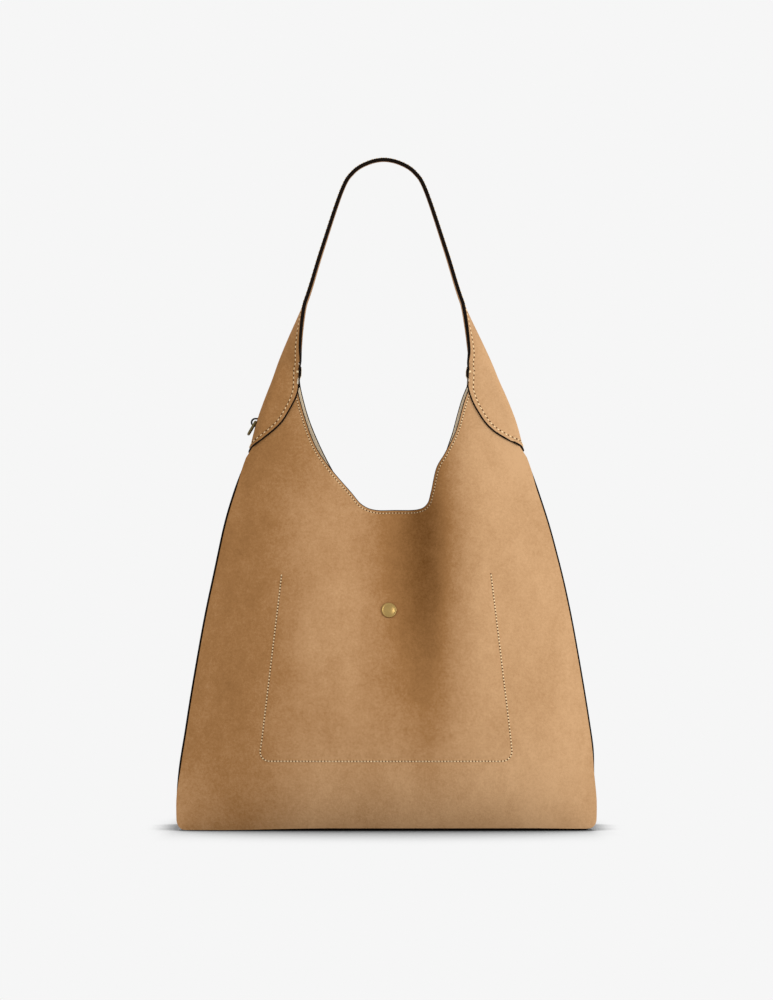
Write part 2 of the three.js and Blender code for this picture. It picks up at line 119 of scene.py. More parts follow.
# (height, half-width) of the outline, (height, distance from the middle plane) of seams and crown.
OUTLINE = [
    (0, 0.1919), (0.020, 0.1925), (0.060, 0.1907), (0.100, 0.1852), (0.155, 0.1763), (0.200, 0.1682),
    (0.247, 0.158), (0.284, 0.149), (0.312, 0.1403), (0.350, 0.1268), (0.376, 0.1197),
    (0.395, 0.1127), (0.413, 0.1052), (0.431, 0.0983), (0.450, 0.090), (0.468, 0.0815),
    (0.487, 0.0735),
]
SEAM_DEPTH = [
    (0, 0.060), (0.100, 0.054), (0.200, 0.043), (0.300, 0.028), (0.350, 0.0185), (0.400, 0.0085),
    (0.430, 0.0055),
]
CROWN_DEPTH = [
    (0, 0.066), (0.040, 0.075), (0.090, 0.078), (0.160, 0.070), (0.220, 0.058), (0.293, 0.040),
    (0.350, 0.0265), (0.400, 0.013), (0.430, 0.0095),
]
GUSSET_FOLD = [
    (0, 0.005), (0.060, 0.017), (0.150, 0.029), (0.250, 0.028), (0.330, 0.014), (0.400, 0.002),
]
# (x, height) along each panel's mouth, from the left horn to the right.
FRONT_MOUTH = [
    (-0.0840, 0.421), (-0.083, 0.407), (-0.076, 0.380), (-0.066, 0.353), (-0.0523, 0.3325),
    (-0.033, 0.310), (-0.023, 0.2985), (-0.011, 0.2933), (0.008, 0.293), (0.028, 0.2936),
    (0.0372, 0.2988), (0.0410, 0.310), (0.046, 0.332), (0.054, 0.346), (0.064, 0.366),
    (0.0715, 0.392), (0.0775, 0.409), (0.0810, 0.421),
]
BACK_MOUTH = [
    (-0.081, 0.421), (-0.080, 0.407), (-0.073, 0.380), (-0.063, 0.355), (-0.0515, 0.332),
    (-0.040, 0.313), (-0.027, 0.298), (-0.012, 0.289), (0.006, 0.2875), (0.028, 0.289),
    (0.041, 0.298), (0.0470, 0.313), (0.0520, 0.333), (0.0565, 0.350), (0.0615, 0.365),
    (0.0655, 0.380), (0.0698, 0.395), (0.0745, 0.407), (0.0805, 0.421),
]
# (distance round the leather from the outer fold, height) of each strap end's lower edge.
LEFT_END_EDGE = [
    (0.0262, 0.424), (0.0300, 0.4155), (0.0331, 0.4085), (0.0352, 0.402), (0.0361, 0.395),
    (0.0361, 0.385), (0.0352, 0.3755), (0.0318, 0.368), (0.0262, 0.3605), (0.0212, 0.3548),
    (0.0145, 0.3505), (0.0075, 0.348), (0, 0.3472),
]
RIGHT_END_EDGE = [
    (0.0285, 0.424), (0.0335, 0.4155), (0.0376, 0.4085), (0.0403, 0.400), (0.0418, 0.390),
    (0.0412, 0.376), (0.0378, 0.3675), (0.0313, 0.361), (0.0236, 0.356), (0.0160, 0.3525),
    (0.0080, 0.3495), (0, 0.3485),
]
# (x, height) along the outside of the raised strap's left leg, up to its top.
STRAP_LEG = [
    (-0.1055, 0.413), (-0.090, 0.450), (-0.0735, 0.487), (-0.059, 0.533), (-0.0404, 0.588),
    (-0.0298, 0.6056), (-0.016, 0.6146),
]


# ---- Curves ---------------------------------------------------------------------------------------


def mix(start, end, share):
    return start + (end - start) * share


def smooth(value, low, high):
    """0 below low, 1 above high, and an easy turn between them."""
    share = np.clip((value - low) / (high - low), 0, 1)
    return share * share * (3 - 2 * share)


def through(table):
    """A smooth function through (key, value) pairs."""
    keys, values = np.array(table, float).T
    slopes = np.gradient(values, keys)

    def at(key):
        key = np.clip(key, keys[0], keys[-1])
        i = np.clip(np.searchsorted(keys, key, side="right") - 1, 0, len(keys) - 2)
        span = keys[i + 1] - keys[i]
        t = (key - keys[i]) / span
        rise = values[i] + (values[i + 1] - values[i]) * t * t * (3 - 2 * t)
        return rise + span * t * (1 - t) * (slopes[i] * (1 - t) - slopes[i + 1] * t)

    return at


class Line:
    """A smooth line through points, read by its share of the whole length."""

    def __init__(self, points, fine=900):
        points = np.array(points, float)
        padded = np.vstack([2 * points[0] - points[1], points, 2 * points[-1] - points[-2]])
        spot = np.linspace(0, len(points) - 1, fine)
        i = np.minimum(spot.astype(int), len(points) - 2)
        t = (spot - i)[:, None]
        a, b, c, d = padded[i], padded[i + 1], padded[i + 2], padded[i + 3]
        curve = (2 * a - 5 * b + 4 * c - d) * t**2 + (3 * b - a - 3 * c + d) * t**3
        self.points = b + 0.5 * ((c - a) * t + curve)
        self.reach = run_lengths(self.points)
        self.length = self.reach[-1]

    def at(self, share):
        spot = np.asarray(share, float) * self.length
        return np.stack([np.interp(spot, self.reach, axis) for axis in self.points.T], -1)


def run_lengths(points):
    steps = np.linalg.norm(np.diff(points, axis=0), axis=1)
    return np.concatenate([[0], np.cumsum(steps)])


def unit(vectors):
    return vectors / np.maximum(np.linalg.norm(vectors, axis=-1, keepdims=True), 1e-12)


outline_half = through(OUTLINE)
seam_depth = through(SEAM_DEPTH)
crown_depth = through(CROWN_DEPTH)
gusset_fold = through(GUSSET_FOLD)
front_mouth = Line(FRONT_MOUTH)
back_mouth = Line(BACK_MOUTH)
strap_end_edges = {-1: Line(LEFT_END_EDGE), 1: Line(RIGHT_END_EDGE)}
strap_path = Line(STRAP_LEG + [(0, STRAP_TOP)] + [(-x, z) for x, z in reversed(STRAP_LEG)])


# ---- The panels -----------------------------------------------------------------------------------


def welt_shows(z):
    """Where the black welt shows outside a panel: 1 along the sides, 0 at corners and horns."""
    return smooth(z, 0.025, 0.060) * (1 - smooth(z, 0.312, 0.335))


def panel_half(z):
    """Half-width of a panel: the outline less the welt, and narrower under the strap end."""
    tucked = 0.0042 * smooth(z, 0.342, 0.355) + 0.0048 * smooth(z, 0.355, 0.380)
    return outline_half(z) - 0.0019 * welt_shows(z) - tucked


def bump(x, centre, left, right):
    """A soft hill, 1 at its centre, that falls off at its own pace on each side."""
    return np.exp(-(((x - centre) / np.where(x < centre, left, right)) ** 2))


def fullness(x, z):
    return 1 - np.clip(np.abs(x) / panel_half(z), 0, 1) ** 3


def pocket_pull(x, z):
    """1 on the line along which the pocket is stitched to the front panel, 0 away from it."""
    taper = (z - POCKET_BOTTOM) * POCKET_TAPER
    middle = (POCKET_LEFT + POCKET_RIGHT) / 2
    side = np.abs(x - middle) - (POCKET_RIGHT - middle - taper - POCKET_ROUND)
    below = POCKET_BOTTOM + POCKET_ROUND - z
    outside = np.hypot(np.maximum(side, 0), np.maximum(below, 0))
    distance = outside + np.minimum(np.maximum(side, below), 0) - POCKET_ROUND
    return np.exp(-((distance / 0.0028) ** 2)) * (1 - smooth(z, POCKET_TOP - 0.004, POCKET_TOP + 0.008))


def front_depth(x, z):
    """The mouth falls in along a valley with a steep right flank, which dies away downwards."""
    rise = smooth(z, 0.060, 0.300)
    slack = rise * (1 - smooth(z, 0.330, 0.410))
    valley = -0.019 * rise * bump(x, 0.030 - z * 0.045, 0.062, 0.027)
    rolls = slack * (0.007 * bump(x, 0.084, 0.034, 0.046) + 0.006 * bump(x, -0.070, 0.070, 0.055))
    sway = 0.0010 * np.sin(34 * x + 19 * z + 1.1) * np.sin(27 * z - 11 * x) * rise
    full = fullness(x, z)
    return mix(seam_depth(z), crown_depth(z), full) + (valley + rolls + sway) * full


def front_skin(x, z):
    """The front panel's outside, pulled in along the pocket's seam and puffed round the snap."""
    away = np.hypot(x - SNAP_X, z - SNAP_Z)
    puff = np.exp(-(((away - 0.0115) / 0.0035) ** 2)) - 1.2 * np.exp(-(((away - 0.0065) / 0.002) ** 2))
    return front_depth(x, z) - 0.0003 * pocket_pull(x, z) + 0.0004 * puff


def back_depth(x, z):
    """The back panel is slack too, with one soft valley beside its middle."""
    rise = smooth(z, 0.080, 0.300)
    valley = -0.009 * rise * bump(x, -0.022, 0.050, 0.060)
    sway = 0.0012 * np.sin(29 * x - 16 * z) * np.sin(23 * z + 9 * x + 0.7) * rise
    full = fullness(x, z)
    return mix(seam_depth(z), crown_depth(z), full) + (valley + sway) * full


def corner_cut(height, radius):
    """How far a rounded lower corner is drawn in, at a height above its lowest point."""
    low = np.clip(1 - height / radius, 0, 1)
    return radius * (1 - np.sqrt(1 - low * low))


def hem_point(u):
    """A point on the panels' outer edge: down the left side, along the hem and up the right."""
    side = np.where(u < 0.5, -1.0, 1.0)
    along = np.minimum(u, 1 - u)
    climb = mix(HEM, HORN_TOP, np.clip(1 - along / CORNER_SHARE, 0, 1) ** 1.5)
    cut = corner_cut(climb - HEM, CORNER_RADIUS)
    across = np.clip((along - CORNER_SHARE) / (0.5 - CORNER_SHARE), 0, 1)
    on_side = along <= CORNER_SHARE
    x = np.where(on_side, panel_half(climb) - cut, (panel_half(HEM) - CORNER_RADIUS) * (1 - across))
    z = np.where(on_side, climb, HEM)
    left_drop = HEM_DROPS[0] * smooth(x, 0.050, 0.160)
    drop = np.where(u < 0.5, left_drop, HEM_DROPS[1] * smooth(x, 0.130, 0.180))
    z = z - drop * (1 - smooth(z, HEM, HEM + CORNER_RADIUS))
    return np.stack([side * x, z], -1)


def on_panel(x, z, depth, facing):
    return np.stack([x, facing * depth(x, z), z], -1)


def panel_surface(mouth, depth, facing):
    """A panel lofted from its mouth (v = 0) to its outer edge (v = 1)."""

    def place(u, v):
        flat = mix(mouth.at(u), hem_point(u), v[:, None])
        return on_panel(flat[:, 0], flat[:, 1], depth, facing)

    return place


def beside_mouth(mouth, u, offset):
    """(x, height) of points at a distance below or beside the mouth's edge."""
    ahead = unit(mouth.at(np.minimum(u + 2e-3, 1)) - mouth.at(np.maximum(u - 2e-3, 0)))
    away = np.stack([ahead[:, 1], -ahead[:, 0]], -1)
    return mouth.at(u) + away * np.asarray(offset)[..., None]


# ---- The strap ------------------------------------------------------------------------------------


def folded_strap(around, z):
    """(inwards from the outer fold, away from the middle plane) of the folded strap's half."""
    closing = np.clip((z - FOLD_START) / (FLAT_HEIGHT - FOLD_START), 0, 1)
    angle = FULL_FOLD * (1 - closing) ** 1.35
    rounded = np.hypot(around, FOLD_ROUND) - FOLD_ROUND
    inward = STRAP_HALF * rounded / (math.hypot(STRAP_HALF, FOLD_ROUND) - FOLD_ROUND)
    return np.sin(angle) * inward, np.cos(angle) * around


def wrapped_horn(around, z, depth, lift):
    """The same for a strap end, which turns round a horn's edge and then lies on the panel."""
    turn, stride = 24, 0.0015
    step = np.arange(60)
    angle = np.minimum(step / turn, 1) * (math.pi / 2)
    beyond = HORN_ROUND + (step - turn) * stride
    inward = np.where(step <= turn, HORN_ROUND * (1 - np.cos(angle) ** SQUARENESS), beyond)
    fold = outline_half(z)[:, None]
    cover = depth(fold - np.maximum(inward, HORN_ROUND), z[:, None]) + lift
    away = cover * np.sin(angle) ** SQUARENESS
    reach = np.cumsum(np.hypot(np.diff(inward, prepend=0), np.diff(away, prepend=0, axis=1)), axis=1)
    pairs = [
        (np.interp(a, r, inward), np.interp(a, r, w)) for a, r, w in zip(around, reach, away)
    ]
    return np.array(pairs).reshape(-1, 2).T


def strap_section(around, z, face, side, lift):
    depth = (lambda x, h: front_depth(side * x, h)) if face < 0 else (lambda x, h: back_depth(side * x, h))
    wrapped = wrapped_horn(around, z, depth, lift)
    folded = folded_strap(around, z)
    share = smooth(z, 0.412, 0.445)
    return mix(wrapped[0], folded[0], share), mix(wrapped[1], folded[1], share)


def strap_point(side, around, z, fold_x, lift):
    """A point of the strap's outside. around is signed: negative towards the front."""
    around, z, fold_x = np.broadcast_arrays(around, z, fold_x)
    inward = np.zeros(len(z))
    away = np.zeros(len(z))
    for face in (-1, 1):
        chosen = around < 0 if face < 0 else around >= 0
        found = strap_section(np.abs(around[chosen]), z[chosen], face, side, lift)
        inward[chosen] = found[0]
        away[chosen] = face * found[1]
    return np.stack([fold_x - side * inward, away, z], -1)


def leg_fold_x(side, z, path_x):
    """x of the outer fold: the bag's outline low down, then the strap's own path."""
    lean = STRAP_LEAN * smooth(z, 0.360, 0.487)
    return mix(side * outline_half(z), path_x, smooth(z, 0.430, 0.480)) + lean


def strap_end_point(side, around, z, lift):
    """A point of a strap end, whose outer fold follows the bag's outline."""
    return strap_point(side, around, z, leg_fold_x(side, z, side * outline_half(z)), lift)


def strap_rows(share, around, lift):
    """Points of the raised strap at shares of its path, above the strap ends."""
    at = strap_path.at(share)
    points = np.zeros((len(at), 3))
    for side in (-1, 1):
        here = at[:, 0] < 0 if side < 0 else at[:, 0] >= 0
        z = at[here, 1]
        fold_x = leg_fold_x(side, z, at[here, 0])
        points[here] = strap_point(side, np.broadcast_to(around, at.shape[:1])[here], z, fold_x, lift)
    points[:, 2] += (points[:, 1] + 0.018) * STRAP_TILT * smooth(points[:, 2], 0.480, 0.600)
    return points


def share_at_height(height):
    """Share of the strap's path at which its left leg passes a height."""
    rising = strap_path.points[: len(strap_path.points) // 2]
    return np.interp(height, rising[:, 1], strap_path.reach[: len(rising)]) / strap_path.length


def narrowed(share):
    """How far a strap end has drawn in to the strap's width, at a share of its height."""
    return 0.4 * smooth(share, 0, 1) + 0.6 * share


def strap_grid(columns, end_rows, rows, lift):
    """Rows of points over the whole strap, from one strap end's edge to the other's."""
    across = np.linspace(-1, 1, columns + 1)
    ends = []
    for side in (-1, 1):
        edge = strap_end_edges[side].at(1 - np.abs(across))
        for v in np.linspace(0, 1, end_rows, endpoint=False):
            around = np.sign(across) * mix(edge[:, 0], STRAP_HALF * np.abs(across), narrowed(v))
            z = mix(edge[:, 1], STRAP_END_TOP, v)
            ends.append(strap_end_point(side, around, z, lift))
    start = share_at_height(STRAP_END_TOP)
    middle = [
        strap_rows(np.full(columns + 1, share), across * STRAP_HALF, lift)
        for share in np.linspace(start, 1 - start, rows)
    ]
    return np.array(ends[:end_rows] + middle + ends[end_rows:][::-1])


def grid_normals(grid):
    along = np.gradient(grid, axis=0)
    across = np.gradient(grid, axis=1)
    return unit(np.cross(along, across))


# ---- Mesh helpers ---------------------------------------------------------------------------------


def deselect():
    if bpy.context.mode != "OBJECT":
        bpy.ops.object.mode_set(mode="OBJECT")
    bpy.ops.object.select_all(action="DESELECT")


def select(*pieces):
    """Selects only these pieces, the first of them active."""
    deselect()
    for piece in pieces:
        piece.select_set(True)
    bpy.context.view_layer.objects.active = pieces[0]


def mesh_piece(name, points, edges, faces):
    """A new piece from its points and how they join."""
    mesh = bpy.data.meshes.new(name)
    mesh.from_pydata(points, edges, faces)
    piece = bpy.data.objects.new(name, mesh)
    bpy.context.scene.collection.objects.link(piece)
    return piece


def added(name):
    """Names the primitive that was just added, and returns it."""
    piece = bpy.context.object
    piece.name = name
    piece.data.name = name
    return piece


def coordinates(piece):
    flat = np.zeros(len(piece.data.vertices) * 3)
    piece.data.vertices.foreach_get("co", flat)
    return flat.reshape(-1, 3)


def move_to(piece, points):
    piece.data.vertices.foreach_set("co", np.ascontiguousarray(points, float).ravel())
    piece.data.update()


def apply_modifier(piece, kind, **settings):
    modifier = piece.modifiers.new(kind.lower(), kind)
    for key, value in settings.items():
        setattr(modifier, key, value)
    bpy.context.view_layer.objects.active = piece
    bpy.ops.object.modifier_apply(modifier=modifier.name)


def face_outwards(piece, merge=1e-6):
    """Merges doubles and points every face of a closed piece outwards."""
    select(piece)
    bpy.ops.object.mode_set(mode="EDIT")
    bpy.ops.mesh.select_all(action="SELECT")
    bpy.ops.mesh.remove_doubles(threshold=merge)
    bpy.ops.mesh.normals_make_consistent(inside=False)
    bpy.ops.object.mode_set(mode="OBJECT")


def finish_piece(piece, materials, body, angle=40, nodes=()):
    """Gives a piece its finishes, smooth shading and body."""
    for material in materials:
        piece.data.materials.append(material)
    at = coordinates(piece)
    at[:, 0] += BODY_SWAY * smooth(at[:, 2], 0.030, 0.090) * (1 - smooth(at[:, 2], 0.220, 0.310))
    move_to(piece, at)
    # Painted light and shade, stored on suede and thread.
    brush(piece)
    select(piece)
    bpy.ops.object.shade_smooth_by_angle(angle=math.radians(angle))
    if body == "strap":
        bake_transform(piece)
    elif body:
        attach(piece, body)
    if nodes:
        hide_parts(*nodes)
    return piece


def leather_sheet(name, place, columns, rows, thickness, materials, flip=False):
    """A grid laid into a sheet's outside by place(u, v), then given its thickness inwards.

    Materials are those of the outside, the inside and the cut edges.
    """
    deselect()
    bpy.ops.mesh.primitive_grid_add(x_subdivisions=columns, y_subdivisions=rows, size=1)
    piece = added(name)
    flat = coordinates(piece)
    move_to(piece, place(flat[:, 0] + 0.5, flat[:, 1] + 0.5))
    if flip:
        piece.data.flip_normals()
    for material in materials:
        piece.data.materials.append(material)
    apply_modifier(
        piece, "SOLIDIFY", thickness=thickness, offset=-1,
        material_offset=1, material_offset_rim=2,
    )
    return piece


def from_grid(grid):
    """place(u, v) for a sheet whose points are already worked out."""
    rows, columns = grid.shape[0] - 1, grid.shape[1] - 1

    def place(u, v):
        return grid[np.rint(v * rows).astype(int), np.rint(u * columns).astype(int)]

    return place


def sweep(name, line, across, out, half_across, half_out, sides=10):
    """A closed bead along a line, oval in section."""
    count = len(line)
    theta = np.arange(sides) * (2 * math.pi / sides)
    half_across = np.broadcast_to(half_across, count)[:, None, None]
    half_out = np.broadcast_to(half_out, count)[:, None, None]
    ring = across[:, None] * half_across * np.cos(theta)[:, None]
    ring = ring + out[:, None] * half_out * np.sin(theta)[:, None]
    points = (line[:, None] + ring).reshape(-1, 3)
    here = np.arange(count - 1)[:, None] * sides + np.arange(sides)
    turned = np.arange(count - 1)[:, None] * sides + (np.arange(sides) + 1) % sides
    quads = np.stack([here, turned, turned + sides, here + sides], -1).reshape(-1, 4)
    caps = [list(range(sides))[::-1], [(count - 1) * sides + k for k in range(sides)]]
    piece = mesh_piece(name, points.tolist(), [], quads.tolist() + caps)
    face_outwards(piece)
    return piece


def resampled(points, normals, spacing):
    """Evenly spaced points, normals and tangents along a line, each spacing long."""
    reach = run_lengths(points)
    count = max(int(round(reach[-1] / spacing)), 2)
    spot = (np.arange(count) + 0.5) * reach[-1] / count
    at = [np.interp(spot, reach, axis) for axis in points.T]
    before = [np.interp(spot - spacing / 4, reach, axis) for axis in points.T]
    after = [np.interp(spot + spacing / 4, reach, axis) for axis in points.T]
    facing = [np.interp(spot, reach, axis) for axis in normals.T]
    tangent = unit(np.stack(after, -1) - np.stack(before, -1))
    facing = unit(np.stack(facing, -1))
    return np.stack(at, -1), facing, tangent


def stitch_template(length, radius, segments, rings):
    """One closed grain, long in X, modelled once for every stitch in a row."""
    deselect()
    bpy.ops.mesh.primitive_uv_sphere_add(segments=segments, ring_count=rings, radius=1)
    grain = added("stitch")
    co = coordinates(grain)[:, [2, 0, 1]]
    co[:, 0] = np.sign(co[:, 0]) * np.abs(co[:, 0]) ** 0.7
    arch = 0.45 * radius - 0.9 * radius * co[:, 0] ** 2
    faces = [list(face.vertices) for face in grain.data.polygons]
    shaped = np.stack([co[:, 0] * length / 2, co[:, 1] * radius, co[:, 2] * radius + arch], -1)
    bpy.data.objects.remove(grain)
    return shaped, faces


def stitches(name, points, normals, pitch, body, slant=0.0, share=0.66, thick=1.0):
    """A row of thread stitches that dip into needle holes at their ends, each hole a dark grain painted
    with the shade inside it.
    """
    sizes = bpy.context.scene.bag_sizes
    radius = sizes.thread / 2 * thick
    at, facing, tangent = resampled(points, normals, pitch)
    sideways = np.cross(facing, tangent)
    tangent = unit(tangent + sideways * slant)
    sideways = np.cross(facing, tangent)
    thread, thread_faces = stitch_template(pitch * share, radius, 8, 6)
    hole, hole_faces = stitch_template(pitch * (1 - share), radius * 1.35, 6, 4)
    hole[:, 2] *= 0.35
    hole[:, 0] += pitch / 2
    verts, faces, finish = [], [], []
    offset = 0
    for shape, shape_faces, index in ((thread, thread_faces, 0), (hole, hole_faces, 1)):
        laid = (
            at[:, None]
            + tangent[:, None] * shape[:, 0, None]
            + sideways[:, None] * shape[:, 1, None]
            + facing[:, None] * shape[:, 2, None]
        )
        verts.append(laid.reshape(-1, 3))
        for k in range(len(at)):
            faces += [[offset + k * len(shape) + i for i in face] for face in shape_faces]
            finish += [index] * len(shape_faces)
        offset += len(at) * len(shape)
    piece = mesh_piece(name, np.vstack(verts).tolist(), [], faces)
    piece.data.polygons.foreach_set("material_index", finish)
    face_outwards(piece)
    return finish_piece(piece, [thread_finish(), hole_finish()], body)


def turned(name, profile, place, steps=44):
    """A part turned about its axis, from (radius, height) points, then put in place."""
    edges = [(k, k + 1) for k in range(len(profile) - 1)]
    piece = mesh_piece(name, [(radius, 0, height) for radius, height in profile], edges, [])
    select(piece)
    bpy.ops.object.mode_set(mode="EDIT")
    bpy.ops.mesh.select_all(action="SELECT")
    bpy.ops.mesh.spin(steps=steps, angle=2 * math.pi, center=(0, 0, 0), axis=(0, 0, 1))
    bpy.ops.object.mode_set(mode="OBJECT")
    face_outwards(piece, merge=1e-5)
    apply_modifier(piece, "BEVEL", width=0.00012, segments=2, limit_method="ANGLE", angle_limit=0.6)
    piece.data.transform(place)
    return piece


# ---- Finishes -------------------------------------------------------------------------------------


class Number:
    """A shader value that takes part in Python expressions."""

    def __init__(self, shop, socket):
        self.shop = shop
        self.socket = socket

    def maths(self, operation, *values):
        inputs = dict(enumerate(values))
        return self.shop.node("ShaderNodeMath", {"operation": operation}, inputs)

    def __add__(self, other):
        return self.maths("ADD", self, other)

    def __radd__(self, other):
        return self.maths("ADD", other, self)

    def __sub__(self, other):
        return self.maths("SUBTRACT", self, other)

    def __rsub__(self, other):
        return self.maths("SUBTRACT", other, self)

    def __mul__(self, other):
        return self.maths("MULTIPLY", self, other)

    def __rmul__(self, other):
        return self.maths("MULTIPLY", other, self)

    def __pow__(self, other):
        return self.maths("POWER", self, other)


class Finish:
    """A material in the making: every node comes from node(), every sum from Number."""

    def __init__(self, name):
        self.material = bpy.data.materials.new(name)
        self.material.use_nodes = True
        self.tree = self.material.node_tree
        self.shader = self.tree.nodes["Principled BSDF"]
        self.object_place = self.node("ShaderNodeTexCoord", {}, {}, "Object")

    def node(self, kind, settings, inputs, output=0):
        made = self.tree.nodes.new(kind)
        for key, value in settings.items():
            setattr(made, key, value)
        for key, value in inputs.items():
            self.feed(made.inputs[key], value)
        return Number(self, made.outputs[output])

    def feed(self, socket, value):
        if isinstance(value, Number):
            self.tree.links.new(value.socket, socket)
        else:
            socket.default_value = value

    def noise(self, scale, detail=2.0, roughness=0.5, place=None, distortion=0.0):
        inputs = {
            "Vector": place or self.object_place, "Scale": scale, "Detail": detail,
            "Roughness": roughness, "Distortion": distortion,
        }
        return self.node("ShaderNodeTexNoise", {}, inputs, "Fac")

    def stretched(self, factors):
        """Object place scaled differently along each axis."""
        inputs = {"Vector": self.object_place, "Scale": factors}
        return self.node("ShaderNodeMapping", {}, inputs)

    def blend(self, share, first, second):
        inputs = {0: share, 6: first, 7: second}
        return self.node("ShaderNodeMix", {"data_type": "RGBA"}, inputs, 2)

    def attribute(self, name):
        return self.node("ShaderNodeAttribute", {"attribute_name": name}, {}, "Fac")

    def clamped(self, value):
        return self.node("ShaderNodeClamp", {}, {"Value": value})

    def bumped(self, height, distance, strength=1.0):
        inputs = {"Height": height, "Distance": distance, "Strength": strength}
        self.feed(self.shader.inputs["Normal"], self.node("ShaderNodeBump", {}, inputs))

    def set(self, **values):
        for key, value in values.items():
            self.feed(self.shader.inputs[key.replace("_", " ").title().replace("Ior", "IOR")], value)


def made_once(build):
    """Keeps one material for each finish."""

    def get():
        name = build.__name__
        return bpy.data.materials.get(name) or build(name).material

    return get


def rgba(colour):
    return (*colour, 1.0)


def tinted(colour, factor):
    return (*(min(channel * factor, 1) for channel in colour), 1.0)


def napped(name, dark, middle, light, mottling, painted_light_name=None):
    """Brushed leather: clouds of turned nap over a fine fibrous grain, plus painted light and shade from a
    named point attribute.
    """
    work = Finish(name)
    clouds = work.noise(11, 3, 0.55, distortion=0.4)
    strokes = work.noise(38, 3, 0.6, work.stretched((1, 1, 0.45)), 0.3)
    patches = work.noise(120, 2, 0.5)
    grain = work.noise(420, 3, 0.65)
    fibres = work.noise(1900, 2, 0.6)
    cloudy = (clouds - 0.5) * 0.30 + (strokes - 0.5) * 0.25 + (patches - 0.5) * 0.14
    fine = (grain - 0.5) * 0.34 + (fibres - 0.5) * 0.36
    tone = 0.5 + (cloudy + fine) * mottling
    # Painted light and shade from the stored attribute shift the tone.
    if painted_light_name:
        tone = tone + work.attribute(painted_light_name)
    deep = work.blend(work.clamped(tone * 2), dark, middle)
    work.set(base_color=work.blend(work.clamped(tone * 2 - 1), deep, light))
    work.set(roughness=0.93, sheen_weight=0.12, sheen_roughness=0.45, specular_ior_level=0.15)
    work.shader.inputs["Sheen Tint"].default_value = tinted(light[:3], 1.6)
    work.bumped(grain * 0.6 + fibres * 0.4 + patches * 0.3, 0.0007, 0.55)
    return work


@made_once
def suede_finish(name):
    colours = bpy.context.scene.bag_finish
    tones = (rgba(colours.suede_dark), rgba(colours.suede), rgba(colours.suede_light))
    # The suede's tone takes painted light and shade from the nap attribute.
    return napped(name, *tones, 1.0, "nap")


@made_once
def suede_reverse_finish(name):
    colours = bpy.context.scene.bag_finish
    middle = tuple((a + b) / 2 for a, b in zip(colours.reverse_dark, colours.reverse_light))
    return napped(name, rgba(colours.reverse_dark), rgba(middle), rgba(colours.reverse_light), 1.6)


@made_once
def edge_paint_finish(name):
    work = Finish(name)
    paint = bpy.context.scene.bag_finish.edge_paint
    worn = work.noise(260, 3, 0.6)
    fine = work.noise(1400, 2)
    work.set(base_color=work.blend(worn, rgba(paint), tinted(paint, 2.2)))
    work.set(roughness=0.55 + worn * 0.2, specular_ior_level=0.06)
    work.bumped(worn * 0.7 + fine * 0.3, 0.00025, 0.5)
    return work


@made_once
def thread_finish(name):
    work = Finish(name)
    colours = bpy.context.scene.bag_finish
    plies = work.noise(1600, 2, 0.5, work.stretched((1, 1, 2.5)))
    # Painted shade and light: the thread darkens towards a shaded suede colour where the nap attribute is
    # low, over its random ply variation.
    shade_and_plies = work.clamped(work.attribute("nap") * 0.8 + plies * 0.4 + 0.55) ** 1.2
    work.set(base_color=work.blend(shade_and_plies, tinted(colours.suede_dark, 0.8), rgba(colours.thread)))
    work.set(roughness=0.75, sheen_weight=0.1, specular_ior_level=0.1)
    work.bumped(plies, 0.0002, 0.7)
    return work


@made_once
def hole_finish(name):
    # Painted shade: the dark inside of a needle hole, with random speckle.
    work = Finish(name)
    dark = bpy.context.scene.bag_finish.suede_dark
    shade_speckle = work.noise(900, 2)
    work.set(base_color=work.blend(shade_speckle, tinted(dark, 0.3), tinted(dark, 0.9)), roughness=0.95)
    return work


def brushed_brass(name, brass, rough):
    work = Finish(name)
    tarnish = work.noise(190, 4, 0.6)
    scratches = work.noise(700, 2, 0.5, work.stretched((1, 0.25, 0.25)))
    work.set(base_color=work.blend(tarnish, tinted(brass, 0.72), tinted(brass, 1.12)), metallic=1.0)
    work.set(roughness=rough + tarnish * 0.18 + scratches * 0.12)
    work.bumped(scratches, 0.00005, 0.5)
    return work


@made_once
def brass_finish(name):
    return brushed_brass(name, bpy.context.scene.bag_finish.brass, 0.24)


@made_once
def aged_brass_finish(name):
    return brushed_brass(name, bpy.context.scene.bag_finish.aged_brass, 0.34)


def leather():
    return [suede_finish(), suede_reverse_finish(), suede_finish()]


def reverse_leather():
    return [suede_reverse_finish()] * 3


def painted_leather():
    return [suede_finish(), suede_reverse_finish(), edge_paint_finish()]


def lining_leather():
    return [suede_reverse_finish(), suede_finish(), edge_paint_finish()]


def nap_turn(at):
    """Painted light (positive) and painted shade (negative) at each point of the suede.

    It lies light on the right and dark at the left and in the front panel's fold, darker on the left horn
    and in a hollow at the upper left, lighter on the right horn and along the left of the hem; the back is
    painted lighter towards its right.
    """
    x, y, z = at.T
    level = -0.02 + 0.28 * smooth(x, -0.145, -0.035) + 0.13 * smooth(x, 0.04, 0.12)
    horns = smooth(z, 0.28, 0.36) * mix(-0.13, 0.09, smooth(x, -0.02, 0.02))
    hem = 0.12 * (1 - smooth(z, 0.030, 0.090)) * (1 - smooth(x, -0.10, -0.02))
    hollow = 0.10 * (1 - smooth(x, -0.13, -0.06)) * bump(z, 0.262, 0.045, 0.035)
    fold = mix(0.14, 0.60, smooth(z, 0.050, 0.250)) * smooth(z, 0.035, 0.090)
    front = level + horns + hem - hollow - fold * bump(x, 0.035, 0.040, 0.025)
    return mix(front, 0.12 + 0.12 * smooth(x, -0.12, 0.12), smooth(y, -0.004, 0.004))


